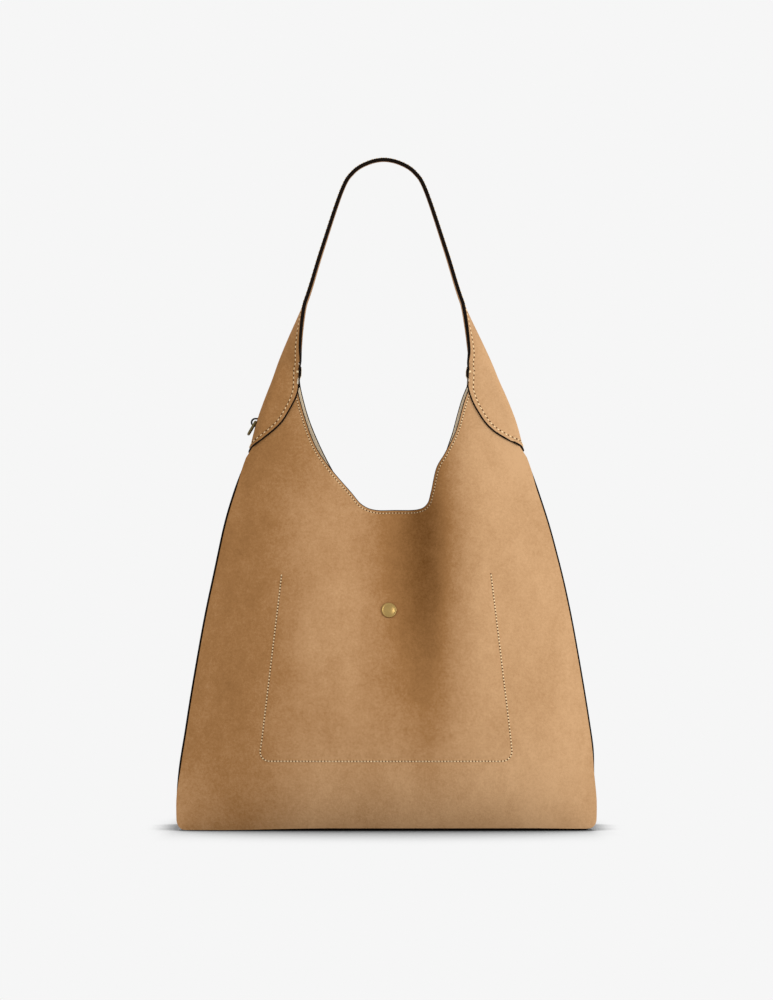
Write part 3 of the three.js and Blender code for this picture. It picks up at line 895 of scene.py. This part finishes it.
def brush(piece):
    """Stores painted light and shade at each point of the suede and of its thread."""
    if not {"suede_finish", "thread_finish"} & set(piece.data.materials.keys()):
        return
    # The nap attribute holds painted light and shade for the suede's and the thread's colour.
    attribute = piece.data.attributes.new("nap", "FLOAT", "POINT")
    attribute.data.foreach_set("value", nap_turn(coordinates(piece)).astype(np.float32))


# ---- Properties -----------------------------------------------------------------------------------


def length(name, description, default):
    return FloatProperty(
        name=name, description=description, default=default, min=0, subtype="DISTANCE",
        unit="LENGTH", precision=5,
    )


def colour(name, description, default):
    return FloatVectorProperty(
        name=name, description=description, default=default, min=0, max=1, size=3, subtype="COLOR",
    )


class BagSizes(bpy.types.PropertyGroup):
    """Sizes that a maker would choose"""

    leather: length("Leather", "Thickness of the outer suede", 0.0017)
    thin_leather: length("Thin leather", "Thickness of the pocket and the facings", 0.0012)
    strap_leather: length("Strap leather", "Thickness of the strap's outer layer", 0.0016)
    lining: length("Strap lining", "Thickness of the strap's inner layer", 0.0015)
    thread: length("Thread", "Diameter of the sewing thread", 0.00095)
    fine_pitch: length("Fine pitch", "Length of a stitch on the mouth and pocket", 0.00293)
    bold_pitch: length("Bold pitch", "Length of a stitch on the strap", 0.0043)
    mouth_inset: length("Mouth inset", "From the mouth's edge to its stitching", 0.0024)
    strap_inset: length("Strap inset", "From the strap's edge to its stitching", 0.0040)


class BagFinish(bpy.types.PropertyGroup):
    """Colours of the bag's materials"""

    # The dark and light suede colours are the ends of the suede's mottling, and also of its painted shade
    # and painted light.
    suede_dark: colour("Suede, dark nap", "Dark end of the suede's mottling and of its painted shade", (0.13, 0.048, 0.006))
    suede: colour("Suede", "Suede with its nap upright", (0.335, 0.162, 0.056))
    suede_light: colour("Suede, light nap", "Light end of the suede's mottling and of its painted light", (0.62, 0.372, 0.19))
    # The reverse colours are partly painted light: paler than the flesh side itself, so that the shaded
    # inside of the bag looks lighter.
    reverse_light: colour("Reverse, light", "Flesh side of the leather", (0.95, 0.84, 0.66))
    reverse_dark: colour("Reverse, dark", "Flesh side, dark end of its mottling", (0.66, 0.54, 0.38))
    edge_paint: colour("Edge paint", "Paint on the cut edges", (0.004, 0.002, 0.001))
    thread: colour("Thread", "Sewing thread", (1.0, 0.78, 0.47))
    brass: colour("Brass", "Brass of the snap", (0.42, 0.28, 0.10))
    aged_brass: colour("Aged brass", "Dark brass of the ring", (0.16, 0.125, 0.055))


# ---- Operators ------------------------------------------------------------------------------------


class BAG_OT_panels(bpy.types.Operator):
    """Lofts the front and back suede panels from the mouth to the hem"""

    bl_idname = "bag.panels"
    bl_label = "Panels"

    def execute(self, context):
        thickness = context.scene.bag_sizes.leather
        for end, mouth, depth, facing in (
            ("front", front_mouth, front_skin, -1), ("back", back_mouth, back_depth, 1),
        ):
            surface = panel_surface(mouth, depth, facing)
            piece = leather_sheet(
                f"{end}_suede", surface, 270, 112, thickness, leather(), facing < 0
            )
            finish_piece(piece, [], "root", nodes=[f"{end}_panel"])
        return {"FINISHED"}


class BAG_OT_mouth(bpy.types.Operator):
    """Backs each mouth with a facing, paints its edge and topstitches it"""

    bl_idname = "bag.mouth"
    bl_label = "Mouth edges"

    def execute(self, context):
        sizes = context.scene.bag_sizes
        behind = sizes.leather + COVER_GAP
        half = sizes.leather / 2
        for end, mouth, depth, facing in (
            ("front", front_mouth, front_depth, -1), ("back", back_mouth, back_depth, 1),
        ):
            inside = lambda x, z: depth(x, z) - behind

            def strip(u, v):
                flat = beside_mouth(mouth, u, 0.0008 + v * FACING_WIDTH)
                return on_panel(flat[:, 0], flat[:, 1], inside, facing)

            strip_piece = leather_sheet(
                f"{end}_facing", strip, 220, 6, sizes.thin_leather, reverse_leather(), facing < 0
            )
            node = f"{end}_mouth_facing"
            finish_piece(strip_piece, [], "root", nodes=[node])
            u = np.linspace(0, 1, 260)
            rim = beside_mouth(mouth, u, 0.0)
            inner = beside_mouth(mouth, u, 0.002)
            edge = on_panel(rim[:, 0], rim[:, 1], depth, facing)
            below = on_panel(inner[:, 0], inner[:, 1], depth, facing)
            out = unit(edge - below)
            across = np.tile([0.0, facing, 0.0], (len(u), 1))
            across = unit(across - out * (across * out).sum(1)[:, None])
            line = edge - across * half
            bead = sweep(f"{end}_mouth_edge", line, across, out, half + 0.0001, 0.00065)
            finish_piece(bead, [edge_paint_finish()], "root")
            self.topstitch(end, mouth, depth, facing, sizes)
        return {"FINISHED"}

    def topstitch(self, end, mouth, depth, facing, sizes):
        u = np.linspace(0.02, 0.98, 500)
        seam = beside_mouth(mouth, u, sizes.mouth_inset)
        points = on_panel(seam[:, 0], seam[:, 1], depth, facing)
        normals = panel_normals(seam[:, 0], seam[:, 1], depth, facing)
        stitches(f"{end}_mouth_stitches", points, normals, sizes.fine_pitch, "root", 0.12, 0.56)


def panel_normals(x, z, depth, facing, step=2e-4):
    across = on_panel(x + step, z, depth, facing) - on_panel(x - step, z, depth, facing)
    upward = on_panel(x, z + step, depth, facing) - on_panel(x, z - step, depth, facing)
    return unit(np.cross(across, upward)) * (1 if facing < 0 else -1)


class BAG_OT_gussets(bpy.types.Operator):
    """Makes the two gussets, folded inwards along their middle"""

    bl_idname = "bag.gussets"
    bl_label = "Gussets"

    def execute(self, context):
        thickness = context.scene.bag_sizes.leather
        seam = thickness + 2 * WELT_HALF + 0.0002
        for end, side in (("left", -1), ("right", 1)):

            def surface(u, v):
                z = mix(HEM + 0.0004, GUSSET_TOP, v)
                across = 2 * u - 1
                crease = 1 - np.sqrt(across**2 + 0.01) / math.sqrt(1.01)
                cut = corner_cut(z - HEM, CORNER_RADIUS)
                slack = 0.0012 * np.sin(41 * z + 3 * across + side) * (1 - across**2)
                inward = cut * across**6 + gusset_fold(z) * crease + slack
                x = panel_half(z) - 0.0005 - inward
                return np.stack([side * x, across * (seam_depth(z) - seam), z], -1)

            piece = leather_sheet(
                f"{end}_gusset_suede", surface, 48, 130, thickness, leather(), side < 0
            )
            face_outwards(piece)
            finish_piece(piece, [], "root", nodes=[f"{end}_gusset"])
        return {"FINISHED"}


class BAG_OT_base(bpy.types.Operator):
    """Makes the flat suede base that the bag stands on"""

    bl_idname = "bag.base"
    bl_label = "Base"

    def execute(self, context):
        thickness = context.scene.bag_sizes.leather
        set_back = 0.0072  # behind the gussets' inner faces
        half_length = float(panel_half(HEM)) - set_back
        rounding = 0.012

        def surface(u, v):
            x = (2 * u - 1) * half_length
            half = front_depth(x, np.full_like(x, HEM)) - thickness - 2 * WELT_HALF - 0.0004
            past = np.clip(np.abs(x) - (half_length - rounding), 0, rounding)
            half = half - rounding + np.sqrt(rounding**2 - past**2)
            return np.stack([x, (2 * v - 1) * half, np.full_like(x, thickness)], -1)

        piece = leather_sheet("base_suede", surface, 160, 40, thickness, lining_leather())
        face_outwards(piece)
        finish_piece(piece, [], "root", nodes=["base_panel"])
        return {"FINISHED"}


class BAG_OT_welts(bpy.types.Operator):
    """Runs a black-edged welt in the seam round each panel"""

    bl_idname = "bag.welts"
    bl_label = "Welts"

    def execute(self, context):
        thickness = context.scene.bag_sizes.leather
        start = 0.042  # share of the seam at which the welt begins, below the strap end
        lowest = 0.00115
        u = np.linspace(start, 1 - start, 420)
        edge = hem_point(u)
        ahead = unit(hem_point(u + 1e-3) - hem_point(u - 1e-3))
        outward = np.stack([ahead[:, 1], -ahead[:, 0]], -1)
        x, z = edge.T
        hem_shows = (1 - smooth(np.abs(x - 0.006), 0.138, 0.164)) * (z < HEM + 1e-4)
        showing = welt_shows(z) * mix(1, 0.8 * smooth(z, 0.040, 0.080), smooth(x, 0, 0.05))
        proud = mix(mix(-0.0012, 0.0009, showing), 0.0010, hem_shows)
        at = edge + outward * proud[:, None]
        out = np.stack([outward[:, 0], np.zeros(len(u)), outward[:, 1]], -1)
        across = np.tile([0.0, 1.0, 0.0], (len(u), 1))
        for end, depth, facing in (("front", front_depth, -1), ("back", back_depth, 1)):
            y = facing * (depth(x, z) - thickness - WELT_HALF)
            line = np.stack([at[:, 0], y, np.maximum(at[:, 1], lowest)], -1)
            piece = sweep(f"{end}_welt_edge", line, across, out, WELT_HALF, 0.001, 12)
            finish_piece(piece, [edge_paint_finish()], "root", nodes=[f"{end}_welt"])
        return {"FINISHED"}


def pocket_outline(z, cut=0.0):
    lift = z - POCKET_BOTTOM
    return POCKET_LEFT + lift * POCKET_TAPER + cut, POCKET_RIGHT - lift * POCKET_TAPER - cut


def pocket_surface(u, v):
    """The pocket's face towards the panel: stitched at its sides, slack in its middle."""
    z = mix(POCKET_BOTTOM, POCKET_TOP, v)
    left, right = pocket_outline(z, corner_cut(z - POCKET_BOTTOM, POCKET_ROUND))
    x = mix(left, right, u)
    loose = (1 - (2 * u - 1) ** 4) * smooth(v, 0, 0.4)
    near = np.exp(-((np.hypot(x - SNAP_X, z - SNAP_Z) / 0.036) ** 2))
    stand = POCKET_FULL - near * (POCKET_FULL - SNAP_STAND + COVER_GAP)
    behind = bpy.context.scene.bag_sizes.leather + COVER_GAP
    return np.stack([x, -front_depth(x, z) + behind + loose * stand, z], -1)


class BAG_OT_pocket(bpy.types.Operator):
    """Hangs the slip pocket inside the front panel and sews its seam"""

    bl_idname = "bag.pocket"
    bl_label = "Pocket"

    def execute(self, context):
        sizes = context.scene.bag_sizes
        for end, first, edge_x, middle_x in (
            ("left", 0.0, -0.112, -0.060), ("right", 0.5, 0.112, 0.060),
        ):
            half = lambda u, v: pocket_surface(first + u / 2, v)
            piece = leather_sheet(
                f"{end}_pocket_half", half, 60, 80, sizes.thin_leather, reverse_leather()
            )
            face_outwards(piece)
            finish_piece(piece, [], None, nodes=["pocket_panel"])
            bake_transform(piece)
        self.sew(sizes)
        return {"FINISHED"}

    def sew(self, sizes):
        """One U-shaped row of stitches: down the left side, along the bottom, up the right."""
        inset = 0.001
        rounding = POCKET_ROUND - inset
        low = POCKET_BOTTOM + inset
        left_top, right_top = pocket_outline(POCKET_TOP)
        left_low, right_low = pocket_outline(low)
        turn = np.linspace(0, math.pi / 2, 16)
        points = [(left_top + inset, POCKET_TOP)]
        left = left_low + inset + rounding
        points += [(left - rounding * math.cos(a), low + rounding * (1 - math.sin(a))) for a in turn]
        right = right_low - inset - rounding
        points += [(right + rounding * math.sin(a), low + rounding * (1 - math.cos(a))) for a in turn]
        points.append((right_top - inset, POCKET_TOP))
        corners = np.array(points)
        reach = run_lengths(corners)
        spot = np.linspace(0, reach[-1], 700)
        x, z = (np.interp(spot, reach, axis) for axis in corners.T)
        outside = on_panel(x, z, front_skin, -1)
        normals = panel_normals(x, z, front_skin, -1)
        stitches("pocket_stitches", outside, normals, sizes.fine_pitch, "root", 0.12, 0.58, 1.3)
        within = on_panel(
            x, z, lambda a, b: front_depth(a, b) - sizes.leather - COVER_GAP - sizes.thin_leather, -1
        )
        within[:, 1] += 0.0004
        stitches("pocket_bobbin_stitches", within, -normals, sizes.fine_pitch, "root", 0.12)


def snap_place():
    """Where the snap sits: its axis is square to the front panel, its zero on the outside."""
    x, z = np.array([SNAP_X]), np.array([SNAP_Z])
    axis = Vector(panel_normals(x, z, front_depth, -1, 5e-4)[0])
    middle = Vector(on_panel(x, z, front_depth, -1)[0])
    return Matrix.Translation(middle) @ Vector((0, 0, 1)).rotation_difference(axis).to_matrix().to_4x4()


class BAG_OT_snap(bpy.types.Operator):
    """Turns the brass snap: cap and stud in the panel, socket and its cap in the pocket"""

    bl_idname = "bag.snap"
    bl_label = "Snap"

    def execute(self, context):
        sizes = context.scene.bag_sizes
        place = snap_place()
        mm = 0.001
        inside = -sizes.leather / mm - 0.2
        face = -(sizes.leather + SNAP_STAND) / mm
        back = face - sizes.thin_leather / mm - 0.3
        knob = inside - 2.6
        profiles = {
            "snap_cap": [
                (0, inside - 1.6), (1.5, inside - 1.6), (1.5, -0.1), (6.7, -0.1), (7.05, 0.15),
                (7.1, 0.7), (6.95, 1.15), (6.55, 1.42), (6.1, 1.45), (5.75, 1.25), (5.5, 1.08),
                (5.2, 1.06), (4.9, 1.2), (4.0, 1.52), (3.0, 1.74), (2.0, 1.88), (1.0, 1.96), (0, 1.98),
            ],
            "snap_stud": [
                (0, knob), (1.6, knob), (2.4, knob + 0.25), (2.7, knob + 0.8), (2.45, inside - 1.2),
                (2.5, inside - 0.9), (5.6, inside - 0.8), (5.8, inside - 0.4), (5.6, inside),
                (1.9, inside), (1.9, inside - 1.8), (0, inside - 1.8),
            ],
            "snap_socket": [
                (1.9, face + 0.15), (5.9, face + 0.15), (6.1, face + 0.5), (6.0, inside - 1.6),
                (5.6, inside - 1.35), (5.1, inside - 1.3), (3.2, inside - 1.5), (3.1, inside - 2.0),
                (3.1, face + 1.0), (1.9, face + 1.0), (1.9, face + 0.15),
            ],
            "snap_socket_cap": [
                (0, back - 1.5), (1.2, back - 1.48), (2.6, back - 1.38), (4.0, back - 1.15),
                (5.2, back - 0.85), (5.9, back - 0.5), (6.15, back - 0.1), (6.0, back + 0.2),
                (1.5, back + 0.2), (1.5, face + 0.7), (0, face + 0.7),
            ],
        }
        for node, profile in profiles.items():
            body = "pocket" if "socket" in node else "root"
            scaled = [(radius * mm, height * mm) for radius, height in profile]
            piece = turned(f"{node}_brass", scaled, place)
            finish_piece(piece, [brass_finish()], body, 35, nodes=[node])
        return {"FINISHED"}


class BAG_OT_strap(bpy.types.Operator):
    """Folds the two-layer strap round both horns, paints its edges and stitches it"""

    bl_idname = "bag.strap"
    bl_label = "Strap"

    def execute(self, context):
        sizes = context.scene.bag_sizes
        lift = sizes.strap_leather + COVER_GAP
        columns, end_rows, raised_rows = 40, 30, 230
        grid = strap_grid(columns, end_rows, raised_rows, lift)
        normals = grid_normals(grid)
        outer = leather_sheet(
            "strap_suede", from_grid(grid), columns, len(grid) - 1, sizes.strap_leather,
            painted_leather(), True,
        )
        face_outwards(outer)
        self.paint_turned_edge(outer)
        nodes = ["strap_outer", "left_strap_end", "right_strap_end"]
        finish_piece(outer, [], "strap", nodes=nodes)
        raised = slice(end_rows, len(grid) - end_rows)
        under = grid[raised] - normals[raised] * (sizes.strap_leather + 0.00005)
        lining = leather_sheet(
            "strap_lining_suede", from_grid(under), columns, len(under) - 1, sizes.lining,
            lining_leather(), True,
        )
        face_outwards(lining)
        finish_piece(lining, [], "strap", nodes=["strap_lining"])
        for face in ("front", "back"):
            self.paint_edge(face, sizes, lift)
            self.stitch_edge(face, sizes, lift)
        return {"FINISHED"}

    def paint_turned_edge(self, piece):
        """Paints the inner faces that turn outwards at the top of each horn."""
        inner_finish, edge_finish = 1, 2
        for face in piece.data.polygons:
            y, z = face.center.y, face.center.z
            outwards = face.normal.y * y > 0.15 * abs(y)
            if face.material_index == inner_finish and 0.405 < z < 0.440 and outwards:
                face.material_index = edge_finish

    def paint_edge(self, face, sizes, lift):
        points, normals = self.edge_route(face, 0.0, lift)
        points, facing, tangent = resampled(points, normals, 0.0016)
        out = unit(np.cross(tangent, facing)) * (1 if face == "front" else -1)
        layers = smooth(points[:, 2], 0.415, 0.440)
        half = (sizes.strap_leather + sizes.lining * layers) / 2
        line = points - facing * half[:, None]
        piece = sweep(f"strap_{face}_edge", line, facing, out, half + 0.00012, 0.0009)
        finish_piece(piece, [edge_paint_finish()], "strap")

    def stitch_edge(self, face, sizes, lift):
        points, normals = self.edge_route(face, sizes.strap_inset, lift)
        stitches(f"strap_{face}_stitches", points, normals, sizes.bold_pitch, "strap", 0.16, 0.56)

    def edge_route(self, face, inset, lift):
        """Points and normals along one edge of the strap and of both its ends, or inside it."""
        sign = -1 if face == "front" else 1
        climb = np.linspace(0.1, 1, 10)
        points = []
        normals = []
        for side in (-1, 1):
            rim = strap_end_edges[side].at(np.linspace(1, 0, 120))
            narrowing = mix(rim[-1, 0], STRAP_HALF, narrowed(climb))
            rising = mix(rim[-1, 1], STRAP_END_TOP, climb)
            rim = np.vstack([rim, np.stack([narrowing, rising], -1)])
            ahead = unit(np.gradient(rim, axis=0))
            inner = rim + np.stack([-ahead[:, 1], ahead[:, 0]], -1) * inset
            inner = inner[(inner[:, 0] >= 0) & (inner[:, 1] < STRAP_END_TOP)]
            place = lambda a, z: strap_end_point(side, a, z, lift)
            points.append(place(sign * inner[:, 0], inner[:, 1]))
            normals.append(self.facing(place, sign * inner[:, 0], inner[:, 1], sign))
        start = share_at_height(STRAP_END_TOP)
        share = np.linspace(start, 1 - start, 500)
        around = np.full(500, sign * (STRAP_HALF - inset))
        place = lambda s, a: strap_rows(s, a, lift)
        joined = np.vstack([points[0], place(share, around), points[1][::-1]])
        facing = np.vstack([normals[0], self.facing(place, share, around, sign), normals[1][::-1]])
        return joined, facing

    def facing(self, place, first, second, sign, step=2e-4):
        """Outward normals: square to the surface, away from the bag's middle and its mouth."""
        along = place(first + step, second) - place(first - step, second)
        across = place(first, second + step) - place(first, second - step)
        normal = unit(np.cross(along, across))
        at = place(first, second)
        towards_face = sign * 0.4 * (1 - smooth(at[:, 2], 0.440, 0.470))
        outward = np.stack([at[:, 0], towards_face, np.maximum(at[:, 2] - 0.5, 0)], -1)
        return normal * np.sign((normal * outward).sum(1))[:, None]


class BAG_OT_bar_tacks(bpy.types.Operator):
    """Wraps four bar-tacks of thread over the strap's edges at the horns"""

    bl_idname = "bag.bar_tacks"
    bl_label = "Bar-tacks"

    def execute(self, context):
        sizes = context.scene.bag_sizes
        lift = sizes.strap_leather + COVER_GAP
        for end, side in (("left", -1), ("right", 1)):
            rim, height = strap_end_edges[side].at(0.03)
            for face, sign in (("front", -1), ("back", 1)):
                z = np.full(24, height)
                around = sign * np.linspace(rim - 0.0022, rim + 0.0011, 24)
                points = strap_end_point(side, around, z, lift)
                points[:, 1] += sign * 0.0011
                out = np.tile([0.0, 0.0, 1.0], (len(points), 1))
                across = np.tile([0.0, 1.0, 0.0], (len(points), 1))
                taper = 0.0004 * np.sqrt(1 - np.linspace(-0.97, 0.97, 24) ** 2)
                shapes = []
                for k in range(3):
                    line = points + np.array([0, 0, (k - 1) * 0.0006])
                    shapes.append(sweep(f"tack_{k}", line, across, out, taper, taper, 8))
                select(*shapes)
                bpy.ops.object.join()
                piece = added(f"{end}_{face}_tack_thread")
                node = f"{end}_{face}_bar_tack"
                finish_piece(piece, [thread_finish()], "root", nodes=[node])
        return {"FINISHED"}


class BAG_OT_ring(bpy.types.Operator):
    """Hangs the brass ring in its painted leather tab on the left horn"""

    bl_idname = "bag.ring"
    bl_label = "Ring and tab"

    def execute(self, context):
        self.tab()
        self.ring()
        return {"FINISHED"}

    def tab(self):
        thickness = 0.0014
        radius = RING_WIRE + 0.0001 + thickness
        half_width = 0.006
        legs = (0.0036, 0.0026)
        wrap = math.pi * radius
        total = legs[0] + wrap + legs[1]

        def surface(u, v):
            run = u * total
            angle = np.clip((run - legs[0]) / radius, 0, math.pi) + math.pi / 2
            x = radius * np.cos(angle) + np.maximum(legs[0] - run, 0)
            x = x + np.maximum(run - legs[0] - wrap, 0)
            z = radius * np.sin(angle)
            y = (2 * v - 1) * half_width
            return np.stack([x + RING_BAR.x, y, z + RING_BAR.z], -1)

        piece = leather_sheet(
            "ring_tab_leather", surface, 40, 12, thickness, [edge_paint_finish()] * 3
        )
        face_outwards(piece)
        apply_modifier(piece, "BEVEL", width=0.0003, segments=2, limit_method="ANGLE", angle_limit=0.9)
        finish_piece(piece, [], "root", nodes=["ring_tab"])

    def ring(self):
        deselect()
        bpy.ops.mesh.primitive_torus_add(
            major_segments=72, minor_segments=14, major_radius=RING_HALF, minor_radius=RING_WIRE
        )
        piece = added("d_ring_brass")
        at = coordinates(piece)
        angle = np.arctan2(at[:, 1], at[:, 0])
        out = np.hypot(at[:, 0], at[:, 1]) - RING_HALF

        def centre(a):
            flat = np.where(np.sin(a) > 0, 0.0005, RING_DROP - RING_WIRE)
            wide = np.sign(np.cos(a)) * np.abs(np.cos(a)) ** 0.7
            return np.stack([(RING_HALF - RING_WIRE) * wide, flat * np.sin(a)], -1)

        ahead = unit(centre(angle + 0.02) - centre(angle - 0.02))
        line = centre(angle)
        flat = np.stack([line[:, 0] + ahead[:, 1] * out, line[:, 1] - ahead[:, 0] * out, at[:, 2]], -1)
        lean = (math.sin(RING_LEAN), math.cos(RING_LEAN))
        axes = np.array([(0, 1, 0), (lean[0], 0, lean[1]), (lean[1], 0, -lean[0])])
        move_to(piece, flat @ axes + np.array(RING_BAR))
        face_outwards(piece)
        finish_piece(piece, [aged_brass_finish()], "ring", nodes=["d_ring"])


class BAG_OT_stage(bpy.types.Operator):
    """Sets the pale floor, the soft studio light and the camera"""

    bl_idname = "bag.stage"
    bl_label = "Stage"

    def execute(self, context):
        scene = context.scene
        scene.view_settings.view_transform = "Standard"
        pale = 0.922
        world = bpy.data.worlds.new("studio")
        world.use_nodes = True
        world.node_tree.nodes["Background"].inputs["Color"].default_value = (pale, pale, pale, 1)
        scene.world = world
        self.floor(pale)
        self.light("key", (1.5, -1.0, 1.0), 0.8, 10, (0.02, 0, 0.28))
        self.light("fill", (-1.2, -2.4, 0.9), 1.6, 1, (0, 0, 0.28))
        self.camera(scene)
        return {"FINISHED"}

    def floor(self, pale):
        deselect()
        bpy.ops.mesh.primitive_circle_add(vertices=96, radius=14, fill_type="NGON")
        piece = added("floor")
        work = Finish("pale_floor")
        # Painted shadow: the floor glows evenly, dimmed near the bag by ambient occlusion into a painted
        # contact shadow that is kept from spreading far beside the bag.
        near = work.node("ShaderNodeAmbientOcclusion", {"samples": 12}, {"Distance": 0.26}, "AO")
        place = {"Vector": work.object_place}
        across = work.node("ShaderNodeSeparateXYZ", {}, place, "X") + 0.004
        along = work.node("ShaderNodeSeparateXYZ", {}, place, "Y")
        spread = along.maths("ABSOLUTE", along) * 10 + 1
        beside = work.clamped((across.maths("ABSOLUTE", across) - 0.190) * 30 * spread**-1)
        lit = work.clamped((near - 0.49) * 2.4 + beside)
        glow = work.blend(lit, (0.10, 0.10, 0.10, 1), (pale, pale, pale, 1))
        work.set(base_color=(0, 0, 0, 1), roughness=1.0, specular_ior_level=0.0)
        work.set(emission_color=glow, emission_strength=1.0)
        piece.data.materials.append(work.material)
        piece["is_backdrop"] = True

    def light(self, name, place, size, power, target):
        lamp = bpy.data.lights.new(name, "AREA")
        lamp.shape = "DISK"
        lamp.size = size
        lamp.energy = power
        holder = bpy.data.objects.new(name, lamp)
        holder.location = place
        holder.rotation_euler = (Vector(target) - Vector(place)).to_track_quat("-Z", "Y").to_euler()
        holder.visible_camera = False
        bpy.context.scene.collection.objects.link(holder)

    def camera(self, scene):
        """A long lens straight in front, at half the height of what it frames."""
        distance, framed, sensor = 5.6, 0.920, 36
        view = bpy.data.cameras.new("camera")
        view.sensor_width = sensor
        view.lens = sensor * distance / framed
        holder = bpy.data.objects.new("camera", view)
        holder.location = (0, -distance - 0.03, 0.3027)
        holder.rotation_euler = (math.pi / 2, 0, 0)
        scene.collection.objects.link(holder)
        scene.camera = holder


class BAG_PT_sidebar(bpy.types.Panel):
    """Lists the bag's pieces in the order they are made"""

    bl_idname = "BAG_PT_sidebar"
    bl_label = "Hobo bag"
    bl_space_type = "VIEW_3D"
    bl_region_type = "UI"
    bl_category = "Bag"

    def draw(self, context):
        for operator in PIECES:
            self.layout.operator(operator.bl_idname)
        for group in (context.scene.bag_sizes, context.scene.bag_finish):
            for name in group.__annotations__:
                self.layout.prop(group, name)


PIECES = (
    BAG_OT_panels, BAG_OT_mouth, BAG_OT_gussets, BAG_OT_base, BAG_OT_welts, BAG_OT_pocket,
    BAG_OT_snap, BAG_OT_strap, BAG_OT_bar_tacks, BAG_OT_ring, BAG_OT_stage,
)
CLASSES = (BagSizes, BagFinish, *PIECES, BAG_PT_sidebar)


def register():
    for each in CLASSES:
        bpy.utils.register_class(each)
    bpy.types.Scene.bag_sizes = PointerProperty(type=BagSizes)
    bpy.types.Scene.bag_finish = PointerProperty(type=BagFinish)


def unregister():
    del bpy.types.Scene.bag_finish
    del bpy.types.Scene.bag_sizes
    for each in reversed(CLASSES):
        bpy.utils.unregister_class(each)


def main():
    register()
    for operator in PIECES:
        group, name = operator.bl_idname.split(".")
        getattr(getattr(bpy.ops, group), name)()
    boxes = {"cad": CAD_BOX, "visual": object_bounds()}
    plain = {name: [list(map(float, corner)) for corner in box] for name, box in boxes.items()}


if __name__ == "__main__":
    main()
